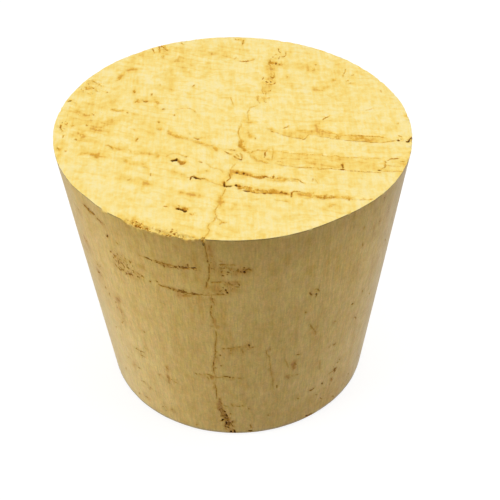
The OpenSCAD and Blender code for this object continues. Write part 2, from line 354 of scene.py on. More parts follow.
TOP_STREAKS = [
    # Ochre along the fissure
    Streak(1.3, 0.8, [
        (6.8, 19.2), (6.2, 17), (5.6, 15), (5.3, 13), (4.8, 10.6), (4.5, 8.4), (4, 6.4), (3.2, 5),
    ]),
    Streak(0.5, 0.5, [
        (3.2, 5), (2.1, 3.8), (2, 0.4), (1.2, -3.2), (0.9, -5.4), (0.4, -7.8), (-0.5, -9.8),
    ]),
    Streak(0.4, 0.55, [(-1, -13), (-1.7, -15.6), (-2.3, -17.6), (-2.4, -19), (-3, -20.2), (-3, -21.4)]),
    # Ochre bands and their edges, left of the fissure
    Streak(0.8, 0.8, [
        (-20.6, -1.6), (-19.6, -2.5), (-18.2, -3.1), (-16, -3.9), (-14, -4.7), (-12.6, -5.3),
    ]),
    Streak(0.7, 0.7, [(-12.9, -5.2), (-11.6, -5.8), (-10.4, -6), (-9, -6.2)]),
    Streak(0.7, 0.8, [(-18.2, -0.1), (-17, -0.7), (-16, -1), (-15.2, -1.2)]),
    Streak(0.4, 0.45, [(-15.4, -1.3), (-14.2, -1.6), (-13.2, -1.9), (-12.2, -2.4)]),
    Streak(0.5, 0.7, [(-19.4, -5.2), (-18.5, -5.7), (-16.4, -6.3), (-14.6, -6.7)]),
    Streak(0.9, 0.8, [(-14.8, -6.6), (-13.6, -7.1), (-12.7, -7.6), (-11.8, -8.1), (-9.8, -8.7)]),
    Streak(0.45, 0.7, [(-9.2, -9.1), (-8, -9.4), (-7, -9.9), (-6, -10.4), (-5.3, -10.7)]),
    Streak(0.9, 0.7, [
        (-15.4, -9.9), (-14, -10.6), (-12.8, -11), (-11.4, -11.2), (-9.6, -11.8), (-7.8, -12.7),
    ]),
    Streak(0.6, 1, [(-6.6, -13.4), (-5.5, -13.9), (-4.6, -14.4)]),
    # Lines along Y
    Streak(0.35, 0.8, [(-17.3, -7), (-17.4, -8), (-17.8, -8.9), (-18.3, -9.9)]),
    Streak(0.35, 0.75, [(-10.9, -12), (-11.5, -13.3), (-11.9, -14.5), (-12.5, -15.8), (-12.5, -17.6)]),
    Streak(0.35, 0.4, [(-10.5, -8.8), (-10.7, -10), (-10.8, -11.2)]),
    Streak(0.35, 0.4, [(-3.9, -12), (-4.6, -13.6), (-4.3, -15)]),
    Streak(0.35, 0.4, [(-8.5, -14), (-8.6, -16.8), (-8.5, -19.4)]),
    Streak(0.3, 0.4, [(-4.8, -17.6), (-4.8, -20.2)]),
    Streak(0.3, 0.4, [(-6.6, -17.8), (-6.6, -20.4)]),
    Streak(0.3, 0.45, [(-0.3, -15), (-0.4, -16.8)]),
    Streak(0.3, 0.45, [(2.4, -16.4), (2, -18)]),
    Streak(0.7, 0.6, [(-21.5, -2.4), (-21.3, -4.2), (-20.9, -6.4)]),
    Streak(0.5, 0.7, [(-8.3, 19.6), (-7.8, 18.2), (-7.2, 17), (-6.4, 16.6)]),
    Streak(0.6, 0.6, [(-3.2, 16.2), (-3.1, 14.6), (-3.6, 12.8), (-4.4, 10.8)]),
    Streak(1.3, 0.45, [(-7.2, 16.2), (-6.4, 14), (-6.2, 12.2)]),
    Streak(0.9, 0.6, [(-8.4, 14.2), (-8.8, 12), (-8.4, 9.4), (-8.4, 7.8)]),
    Streak(0.5, 0.7, [(-10, 7.2), (-9.8, 6), (-9.6, 5), (-9.9, 3.2)]),
    Streak(0.4, 0.55, [(-9.9, 16.2), (-9.9, 14.2)]),
    Streak(0.8, 0.6, [(-15, 10.4), (-15, 8.4), (-15.4, 6), (-15.8, 4.4)]),
    Streak(0.6, 0.8, [(-13.8, 14), (-13.7, 16), (-13.4, 17.6)]),
    Streak(0.3, 0.55, [(3, 14.8), (3, 12), (3, 10.4)]),
    Streak(0.5, 0.4, [(0, 13.4), (-0.2, 11), (0.2, 9.4)]),
    Streak(0.8, 0.45, [(-0.2, 4.8), (-0.2, 2.4)]),
    Streak(0.3, 0.55, [(-1.3, 1.2), (-1.5, 0.2), (-1, -1.8)]),
    Streak(0.3, 0.55, [(1.7, 2.9), (1.5, 2), (1.6, 1), (1.5, 0.2)]),
    Streak(0.4, 0.7, [(4.2, 17), (4.2, 15.4)]),
    # Across, on the right
    Streak(0.8, 0.95, [(11, 1.1), (10.5, 0.5), (10.6, -0.6), (10.3, -1.5), (9.6, -1.9)]),
    Streak(0.3, 0.55, [(6, 9.8), (7.2, 9.7), (8.8, 9.4)]),
    Streak(0.6, 0.6, [(8.2, 14.5), (9.2, 14), (10.4, 13.8)]),
    Streak(0.6, 0.95, [(12.1, 10.4), (11.4, 9.2), (10.6, 8)]),
    Streak(0.4, 0.55, [(11.2, 5.2), (11.2, 3)]),
    Streak(0.4, 0.45, [(16.2, 5.8), (16, 4.4)]),
    Streak(0.5, 0.4, [(7, -15.6), (8.2, -15.9), (8.4, -16.8)]),
]

TOP_PATCHES = [
    # Ochre clouds
    Patch(-16.6, 0.8, 2.6, 1.6, 0.65, angle=-10),
    Patch(-18.6, 3.5, 2.6, 2.5, 0.42, 0.25),
    Patch(-16.8, 5.6, 2, 2.4, 0.38, 0.1),
    Patch(-13.4, 1.8, 1.6, 1.4, 0.3),
    Patch(-19.6, -2, 1.4, 0.9, 0.5, 0.1, angle=-30),
    Patch(-18.6, -4.9, 0.9, 0.5, 0.35, 0.1, angle=-20),
    Patch(-13, -8.3, 1.7, 0.9, 0.55, angle=-15),
    Patch(-11, -15, 0.6, 0.5, 0.5),
    Patch(-9, -12.7, 1, 0.4, 0.5, angle=-15),
    Patch(-11.3, -2.9, 1.2, 0.6, 0.3),
    Patch(-11, 0.4, 1, 1.8, 0.3),
    Patch(-12, 6, 1.6, 0.8, 0.6, 0.3, angle=10),
    Patch(-3, 17.6, 1.5, 1, 0.8),
    Patch(-4.6, 18.6, 1.7, 1.7, 0.5),
    Patch(-6.6, 18.4, 1.3, 2, 0.5),
    Patch(-1.4, 17.4, 1.3, 0.8, 0.55),
    Patch(-0.8, 19.6, 1, 0.8, 0.4),
    Patch(-6.9, 15.6, 1, 1, 0.5),
    Patch(1.6, 18.4, 1.8, 1, 0.45),
    Patch(-9.6, 18.6, 0.9, 1.7, 0.6, 0.2),
    Patch(-12.7, 17.6, 0.9, 0.6, 0.5, 0.1),
    Patch(1.2, 8.9, 1.2, 0.5, 0.5),
    Patch(5, 20.2, 0.8, 1.2, 0.35),
    Patch(6.9, 15.2, 1.7, 0.8, 0.6, angle=-10),
    Patch(10.4, 13.8, 1.7, 0.9, 0.5),
    Patch(11.2, 14, 0.9, 1.4, 0.6),
    Patch(14.6, 13.4, 1.3, 1.3, 0.45),
    Patch(13.5, 10, 1, 1.5, 0.6),
    Patch(17.2, 13, 0.6, 1, 0.4),
    Patch(8.6, 9.2, 0.7, 0.5, 0.4),
    Patch(12.3, 8.6, 1, 0.6, 0.5),
    Patch(8, 7.6, 1.4, 0.5, 0.35),
    Patch(8.8, 4, 0.8, 0.8, 0.45),
    Patch(14, 5.4, 3, 2, 0.2),
    Patch(7.6, 2.2, 1, 0.8, 0.3),
    Patch(15.2, 0, 0.5, 0.5, 0.45),
    Patch(18.8, -0.8, 1.5, 0.5, 0.35),
    Patch(14, 1.6, 1.2, 1.2, 0.3),
    Patch(4.8, -3.2, 0.7, 0.5, 0.5),
    Patch(10.6, -17.2, 1.6, 0.8, 0.25, angle=10),
    Patch(2.8, -21.2, 1.2, 0.5, 0.5),
    Patch(12.4, -8.6, 0.7, 0.3, 0.6, 0.3),
    # Stained and speckled spots
    Patch(5.8, 14.4, 0.9, 2.6, 0.5, 0.4, angle=8),
    Patch(4.8, 10.4, 0.8, 2, 0.5, 0.45, angle=8),
    Patch(6.1, 15.2, 1, 0.8, 0.9, 0.3, angle=-10),
    Patch(6.6, 17.4, 1, 1.4, 0.4, 0.3),
    Patch(5.4, 12, 0.7, 1.4, 0.5, 0.2),
    Patch(4.9, 10, 0.9, 0.8, 0.6, 0.4),
    Patch(4.2, 6.6, 1.1, 2, 0.55, 0.3),
    Patch(2, -2.4, 0.6, 0.6, 0.6, 0.1),
    Patch(0.6, -6.4, 1.2, 1, 0.55, 0.3, angle=-20),
    Patch(-5.7, -16.6, 0.5, 0.4, 0.9, angle=-30),
    Patch(-18.6, 9.4, 2, 2.2, 0.6, 0.5, angle=20),
    Patch(-0.2, -5.8, 1.4, 0.8, 0.5, 0.3, angle=-20),
    Patch(-21.2, 0.4, 0.9, 2, 0.35, 0.5),
    Patch(-20.6, 3, 1.2, 3, 0.3, 0.3),
    Patch(-12.5, 10.8, 1, 1, 0.3, 0.2),
    Patch(15.4, 11.4, 0.8, 1.8, 0.35, 0.3),
    Patch(20.4, -8.6, 1, 1.2, 0.3, 0.5, angle=10),
    Patch(20.8, -3.1, 1, 0.6, 0.5, 0.4, angle=-20),
    Patch(3, -13.5, 1.2, 0.5, 0.9, 0.2, angle=-10),
    Patch(4.4, -10.9, 2, 0.5, 0.8, 0.2, angle=-8),
    # The crumbled stretch of rim, near the front
    Patch(-10.6, -19.6, 2.6, 0.5, 0.8, 1, angle=-35),
    Patch(-7.6, -21, 1.4, 0.5, 0.8, 0.9, angle=-22),
]

TOP_BANDS = [
    Band(
        stain=0.62, sink=0.06,
        upper=[
            (4.4, -0.8), (6, -0.9), (9.4, -1.4), (11, -1), (12.2, -1.7), (14.6, -2.3), (20.4, -2.7),
            (22, -3.3),
        ],
        lower=[
            (4.4, -0.9), (6.1, -2.1), (8.7, -3.2), (9.4, -2.2), (12.1, -2.8), (16.6, -3.9), (18.3, -4),
            (22, -3.5),
        ],
    ),
    Band(
        stain=0.46, sink=0.04,
        upper=[(1.8, -5.7), (4.4, -5.4), (8.6, -6.2), (10.7, -6.4), (13, -7.1), (18, -7.5), (21.4, -7.2)],
        lower=[(1.8, -6), (3.9, -8), (5.7, -8.5), (9.8, -9.1), (12.6, -9.6), (17.4, -10.1), (20.3, -10.1)],
    ),
    Band(
        stain=0.55, sink=0.05,
        upper=[(9.2, -14.3), (10.6, -14.5), (12, -15), (14, -15.1), (16.2, -15.4)],
        lower=[(9.2, -14.5), (10, -15.3), (12.2, -15.4), (16.2, -15.6)],
    ),
]

TOP_CRACKS = lines_of(TOP_LINES)

SIDE_LINES = {
    "pit": [
        [(-9.4, 38.4), (-9.3, 37.9)], [(-6.3, 5.4), (-6, 5.1)], [(-5.6, 4.7), (-5.3, 4.2)],
        [(-7.1, 3.4), (-7.5, 3)], [(-6, 2.8), (-5.8, 2.3)], [(-5.2, 1.8), (-4.8, 1.5)],
        [(-4.1, 0.8), (-3.9, 0.4)], [(-2.4, 0.8), (-2.3, 0.4)], [(3.7, 19.5), (3.9, 19.2)],
        [(2.2, 32.9), (2.5, 32.6)], [(29.4, 0.7), (30.8, 0.5), (32.4, 0.6)],
        [(3.3, 0.7), (4, 0.6), (4.8, 0.6)],
    ],
    "black": [
        [(-17.7, 33.1), (-17.3, 32.8)], [(-16.2, 32.8), (-15.2, 32.9), (-14.4, 32.8)],
        [(-13.6, 33), (-12.5, 33.1)], [(-29.2, 33), (-28.2, 33.1), (-26.8, 33)],
        [(-42.6, 29.2), (-42, 28.8)], [(-43.3, 33.6), (-42.9, 34)], [(-3.4, 29.8), (-3.2, 29.5)],
        [(-3, 29.4), (-2.8, 29.1)], [(-5.7, 13.1), (-5, 13.1), (-4.2, 13.1)], [(-3.6, 13), (-3.4, 12.9)],
        [(-6.6, 17.4), (-6.4, 17.4)], [(26.4, 26.4), (26.9, 26.2)],
        [(29.4, 6.6), (30.3, 6.4), (31.4, 6.6)], [(35.7, 6.8), (36.2, 6.5)],
        [(41.4, 7.9), (42.2, 8), (43.4, 8.2)], [(-5.6, 3.3), (-5.3, 3.2)],
        [(-53.2, 36.4), (-51.2, 36.1), (-50.4, 35.6)],
    ],
    "dark": [
        # The gouge at the foot end of the fissure
        [(-7.3, 5.9), (-6.8, 5.6), (-6.6, 5.3)], [(-8, 5.1), (-7.6, 4.7), (-7.4, 4.4)],
        [(-5.4, 3.9), (-5.2, 3.5)], [(-8, 2.9), (-7.6, 2.9)], [(-4.2, 2.8), (-3.4, 2.3), (-2.6, 1.9)],
        [(-3.4, 1), (-2.8, 1.1), (-2.2, 0.8)], [(-8.9, 8.4), (-8.8, 8.1)], [(-8.1, 8.1), (-7.3, 8)],
        [(-6.8, 4.6), (-6.2, 4.6)], [(-6.2, 4), (-6, 3.5)],
        # The ring lines across the fissure
        [(-25.2, 33.2), (-24.8, 33.2)], [(-22.6, 33.1), (-22.2, 32.9)],
        [(-25.4, 28.9), (-24.4, 28.7), (-23.6, 28.8)], [(-26.2, 29.4), (-25.9, 29.3)],
        [(-28.9, 28.9), (-28.4, 29)], [(-13.3, 28.6), (-12.2, 28.5), (-10.9, 28.7)],
        [(-3.9, 13), (-3.2, 12.9)], [(-2.6, 12.9), (-2.2, 12.9)], [(-31.8, 29.4), (-31, 29.2)],
        [(0.4, 33.4), (0.7, 32.9)], [(2.6, 33.1), (3.4, 33.3), (4.3, 33.1)], [(2, 33.7), (2.3, 33.5)],
        [(-4.1, 32.2), (-3.6, 32.1)], [(-4.5, 31.1), (-5.1, 31)], [(-4.4, 28.9), (-3.9, 28.8)],
        # The specked patch to the left
        [(-41.2, 28.7), (-40.4, 28.4)], [(-39.6, 28.8), (-38.8, 28.9)], [(-37, 28.7), (-36.3, 28.5)],
        [(-38.3, 29.8), (-38, 29.6)], [(-36.7, 29.8), (-36.3, 29.7)], [(-35, 31.3), (-34.7, 30.8)],
        [(-37, 30.9), (-36.2, 30.7)], [(-43.8, 31), (-43.2, 31.2)], [(-41.9, 31), (-41.5, 30.6)],
        [(-39.6, 33.5), (-38.9, 33.3)], [(-48.8, 36.2), (-47, 36)], [(-46.9, 35.8), (-46.4, 35.7)],
        # Lone marks
        [(-56.6, 24), (-55.4, 24.4)], [(-5.6, 18.7), (-5.2, 18.7)], [(-0.4, 19), (0.7, 19)],
        [(-3.2, 17.9), (-2.7, 17.9)], [(4.9, 18.8), (5.7, 18.9)], [(-8.3, 18.1), (-7.9, 18.1)],
        [(-6.4, 15.3), (-6.2, 15.1)], [(-9.4, 15.8), (-9.3, 15)], [(-12.2, 12.8), (-11.8, 12.2)],
        [(-28.8, 12.6), (-28.2, 12.2)], [(-30.4, 2.9), (-29.6, 2.9)],
        [(24.4, 27.1), (24.6, 26.7), (25, 26.5)], [(25.8, 27.3), (26.8, 27.2), (27.5, 26.7)],
        [(26.9, 26.2), (26.8, 25.8)], [(44.4, 20.3), (45.3, 20.2)], [(14.6, 10.2), (14.7, 9.8)],
        [(21.3, 15.6), (22.4, 15.5)], [(43, 9.3), (43.5, 9)], [(43.8, 9.6), (44.4, 9.4)],
        [(38.1, 14), (39.2, 14.2)], [(42, 7.7), (42.8, 7.7)], [(41.6, 8.4), (42.2, 8.3)],
    ],
    "brown": [
        # The long fissure
        [(-7.4, 36.9), (-7.2, 36.2)], [(-8, 35.1), (-7.6, 34.8)],
        [(-8.4, 34.1), (-8.5, 33.2), (-8.3, 32.4)], [(-6.8, 35.5), (-6.6, 35.3)],
        [(-7.1, 33.3), (-6.6, 33.1)], [(-9.3, 31), (-9.4, 30)], [(-8, 28.2), (-7.9, 27.6), (-7.4, 27)],
        [(-8.6, 25.8), (-8.6, 24.8), (-8.3, 23.8)], [(-7.6, 23.1), (-7.2, 22.7)],
        [(-8.4, 17.3), (-8.2, 16.8)], [(-9, 16.9), (-9.2, 16)], [(-8.8, 14.6), (-8.2, 14.7)],
        [(-9, 11.1), (-8.7, 10.4)], [(-7.6, 7.6), (-7.1, 7.3), (-6.9, 6.9)], [(-6.5, 6.6), (-5.3, 6.6)],
        [(-3.9, 5.1), (-3.6, 4.8)], [(-8.1, 4.3), (-7.9, 3.9)],
        # The ring lines
        [(-31, 32.9), (-30.5, 32.9)], [(-24.2, 33.1), (-23.6, 33.1)],
        [(-20.2, 33.1), (-19, 33), (-18.2, 33)], [(-22.8, 28.8), (-21.4, 28.8)],
        [(-18.6, 28.9), (-17.4, 28.8)], [(-17.2, 28.4), (-16, 28.3)], [(-6.4, 28.9), (-5.4, 28.9)],
        [(-9, 28.8), (-8.2, 28.9)], [(-7.6, 31), (-6.2, 31), (-4.6, 31.1)], [(-3.4, 30.7), (-3.2, 30.3)],
        [(-2, 30.6), (-1.7, 30.4)], [(-0.4, 30.7), (0.4, 30.5)], [(-1, 30.2), (0.1, 30.1)],
        [(-5, 34), (-3, 34), (-2.2, 33.9)], [(-1.4, 34.1), (-0.2, 34.1)], [(-3, 33.8), (-2.8, 33.3)],
        [(-4.4, 34.7), (-4, 34.6)], [(-4.4, 32.8), (-4, 32.6)], [(-1.8, 32.5), (-1.2, 32.4)],
        [(0.7, 32.9), (1.4, 32.8)], [(3.9, 33.2), (4.4, 33)],
        [(-13.4, 13.3), (-12, 13.3), (-11, 13.1), (-9.6, 12.8)], [(-16.2, 13.1), (-15.8, 13)],
        [(-14.9, 13.1), (-14.4, 13)], [(-4.2, 18.8), (-3, 18.8), (-1.6, 18.9)],
        [(-2.9, 18.6), (-2.9, 18.2)], [(0.9, 18.5), (1.4, 17.9)], [(3.9, 19), (4.6, 18.6)],
        [(3.4, 18.5), (3.8, 18.4)], [(-0.4, 12.7), (0.1, 12.7)], [(-3.2, 7), (-2.8, 6.5)],
        [(-1.2, 6.6), (0.2, 6.5)], [(0.8, 6.8), (1.3, 6.5)],
        # Lone marks
        [(-60.4, 28.4), (-58.6, 29)], [(-55.2, 26), (-54.4, 26.1)], [(-53.4, 26.1), (-52.8, 26.3)],
        [(-53.4, 22), (-52.9, 22.3)], [(-51.8, 21.4), (-51.3, 21.8)], [(-48.6, 20.8), (-48, 21.1)],
        [(-49, 19.6), (-48, 20)], [(-46.6, 19.4), (-45.8, 19.6)], [(-48.6, 17), (-47, 17.6)],
        [(-54.6, 14.2), (-53.2, 14.7)], [(-42.6, 13.1), (-41.9, 13.4)], [(-40.4, 13.2), (-38.4, 13.4)],
        [(-40.8, 12.3), (-38.6, 12.4)], [(-37.9, 15), (-37.4, 14.8)], [(-35.6, 18.3), (-35.2, 18)],
        [(-50.8, 9.4), (-50, 9.7)], [(-47.4, 8.7), (-45.6, 9)], [(-44.2, 8.9), (-43, 9)],
        [(-45.2, 6.1), (-43, 6.3)], [(-40.4, 5.2), (-39.6, 5.4)], [(-56.2, 5.2), (-55, 5.8)],
        [(-49.4, 1.8), (-48.4, 2.1)], [(-44.8, 2.4), (-43, 2.6)], [(-33.4, 3), (-32.6, 2.9)],
        [(-35, 2.5), (-34.4, 2.8)], [(-33.2, 10.1), (-32, 10.4)], [(-31.2, 9.9), (-30.6, 9.8)],
        [(-26.2, 9.8), (-24.9, 9.7)], [(-19.2, 1.1), (-18.4, 1.3)],
        [(9.8, 17.8), (10.3, 17), (10.7, 16.5)], [(25.8, 21), (26.6, 20), (27.4, 19.4)],
        [(27.6, 19.3), (28.2, 18.9), (28.4, 18.4)], [(36.8, 19.3), (37.6, 19)],
        [(48.6, 16.9), (49.9, 16.1)], [(36, 14.2), (36.4, 14)], [(20.8, 14.1), (21.2, 13.5)],
        [(20.4, 11.5), (20.9, 11.3)], [(22.6, 11.5), (23.1, 11.3)], [(43.7, 34.2), (44, 33.9)],
        [(44.4, 31.2), (44.8, 30.6)], [(38.6, 8), (40.8, 7.9)], [(40.6, 6.6), (41.4, 6)],
        [(40, 5.4), (40.6, 5.2)], [(37.4, 5), (38.4, 5)], [(33, 4.8), (34.4, 4.3)],
        [(36.4, 3.4), (38.2, 2.6)], [(44, 1.5), (45.4, 0.9)], [(24.2, 5.9), (24.8, 5.8)],
        [(3.6, 6.1), (4, 5.9)], [(11.3, 4), (11.7, 3.8)], [(4.4, 2.1), (4.7, 1.2)],
        [(54, 3.6), (54.8, 3.2)], [(52.6, 1.8), (53.6, 1.5)], [(63, 4.8), (64.6, 4.2)],
        [(57.3, 19), (57.9, 18.5)], [(61.8, 27.2), (63, 26.6)], [(50.2, 21.3), (50.6, 20.9)],
        [(23.4, 23.7), (23.8, 23.4)],
    ],
    "line": [
        [(-30.6, 33), (-26, 33.1), (-22, 33), (-18, 33), (-12, 33)],
        [(-25.6, 28.9), (-21, 28.8), (-16, 28.6), (-10, 28.6), (-4, 28.9)],
        [(-9.3, 37.8), (-8.9, 37.1), (-8.6, 36.2), (-8.4, 35.3), (-8.5, 34.3)],
        [(-8.3, 32.3), (-8.4, 31.6), (-8.9, 31.1)], [(-7.9, 28.9), (-8, 28.3)],
        [(-8.3, 26.9), (-8.6, 26)], [(-7.6, 22.2), (-7.5, 21.4), (-7.7, 20.4), (-8, 19.5), (-8.2, 18.2)],
        [(-8, 18), (-8.5, 17.4)], [(-9.2, 16), (-9.4, 15), (-9.2, 14.4), (-9.2, 13.4)],
        [(-8.7, 10.5), (-8.9, 9.5), (-8.9, 8.5)],
    ],
    "faint": [
        [(-9.2, 23), (-6, 23)], [(-9.6, 12.8), (-8, 12.7), (-6.4, 12.9)], [(-20.4, 28.9), (-18.8, 28.9)],
        [(10.8, 16.3), (11.4, 15), (12, 13), (12.8, 11), (13.1, 9.6)], [(11, 18.6), (11.1, 17.8)],
        [(16.8, 15.3), (17.6, 14.6), (18.5, 13.5)], [(32.5, 12.4), (33, 10.4)],
        [(-2.6, 6.6), (-1.2, 6.6)],
    ],
    "burnt": [[(-52.8, 36.4), (-50.6, 36), (-48.4, 35.9)]],
    "rust": [
        [(-7.6, 7), (-6.9, 6.2), (-7, 5.4), (-6.7, 4.8)], [(-6.6, 3.8), (-6.4, 3.2), (-5.2, 2.7)],
        [(-6.6, 2.2), (-5.9, 1.4)], [(-4.9, 3.1), (-4.2, 2.3), (-4.4, 1.8)],
        [(-28.6, 10.6), (-28.2, 9.8), (-28.5, 9.2)], [(-47, 22), (-45.4, 21.8)],
        [(40.6, 6.2), (41.6, 5.9)], [(20.2, 13.9), (20.8, 13)], [(-10.8, 12.8), (-10.4, 12.4)],
        [(-17, 28), (-15, 28.2)], [(-3, 33.6), (-1.6, 33.4)], [(18.2, 11.7), (18.9, 11.1)],
    ],
}

# The side is sanded, so its marks are finer and shallower.
SIDE_BREADTH, SIDE_DEPTH = 0.72, 0.45
SIDE_CRACKS = lines_of(SIDE_LINES, SIDE_BREADTH, SIDE_DEPTH)

SIDE_STREAKS = [
    # Brown lines up the side
    Streak(0.5, 0.35, [(-12, 37), (-12.4, 30), (-12, 24)]),
    Streak(0.35, 0.5, [(-8.6, 30), (-8.2, 26), (-7.8, 22)]),
    Streak(0.3, 0.5, [(-9.3, 16.4), (-9.3, 13), (-8.8, 9)]),
    Streak(0.35, 0.35, [(-5.4, 12.4), (-5.6, 9.6)]),
    Streak(0.35, 0.3, [(-14.6, 27), (-14.8, 23)]),
    Streak(0.6, 0.25, [(-21, 27), (-21.6, 20), (-21, 14)]),
    Streak(0.7, 0.25, [(-26, 36), (-26.4, 30), (-26, 22)]),
    Streak(0.5, 0.35, [(-30.6, 36.6), (-31, 32), (-31, 30)]),
    Streak(0.3, 0.5, [(-28.4, 37.4), (-28, 35.6)]),
    Streak(0.25, 0.45, [(-22.6, 37.6), (-22.2, 35.6)]),
    Streak(0.25, 0.45, [(-18.6, 37.6), (-18.2, 36)]),
    Streak(0.25, 0.35, [(-15, 37.6), (-15, 34.6)]),
    Streak(0.5, 0.3, [(-4.6, 28), (-4.2, 23), (-4.6, 19)]),
    Streak(0.4, 0.35, [(-2.6, 24), (-2.8, 20)]),
    Streak(0.4, 0.25, [(4.4, 24), (4.6, 20)]),
    Streak(0.6, 0.2, [(2, 17), (1.6, 10), (2, 4)]),
    Streak(0.4, 0.3, [(9.4, 17), (9.2, 15), (9.6, 13)]),
    Streak(0.4, 0.4, [(11.4, 15), (12.2, 12.6), (13.1, 9.4), (14.4, 8)]),
    Streak(0.6, 0.3, [(10.4, 37), (10.8, 34), (10.4, 31)]),
    Streak(0.5, 0.35, [(14.6, 37.6), (14.4, 34), (15, 32.6)]),
    Streak(0.5, 0.3, [(20.6, 37), (20.9, 35.6)]),
    Streak(0.7, 0.3, [(23.4, 32), (23.2, 30.4)]),
    Streak(0.8, 0.2, [(29, 36), (29.6, 26), (29, 16)]),
    Streak(0.7, 0.2, [(20, 26), (20.4, 20), (20, 17)]),
    Streak(0.5, 0.25, [(28.6, 22.6), (29.2, 20)]),
    Streak(0.4, 0.3, [(32.4, 12.6), (33, 10.4), (34.6, 8.6)]),
    Streak(0.5, 0.3, [(37.6, 27.6), (38.4, 26)]),
    Streak(0.4, 0.3, [(46.6, 18.4), (48.4, 17), (50, 16)]),
    Streak(0.7, 0.25, [(-47.6, 23), (-48, 20), (-48, 17)]),
    Streak(0.6, 0.25, [(-37.4, 17), (-36.6, 15), (-36, 12)]),
]

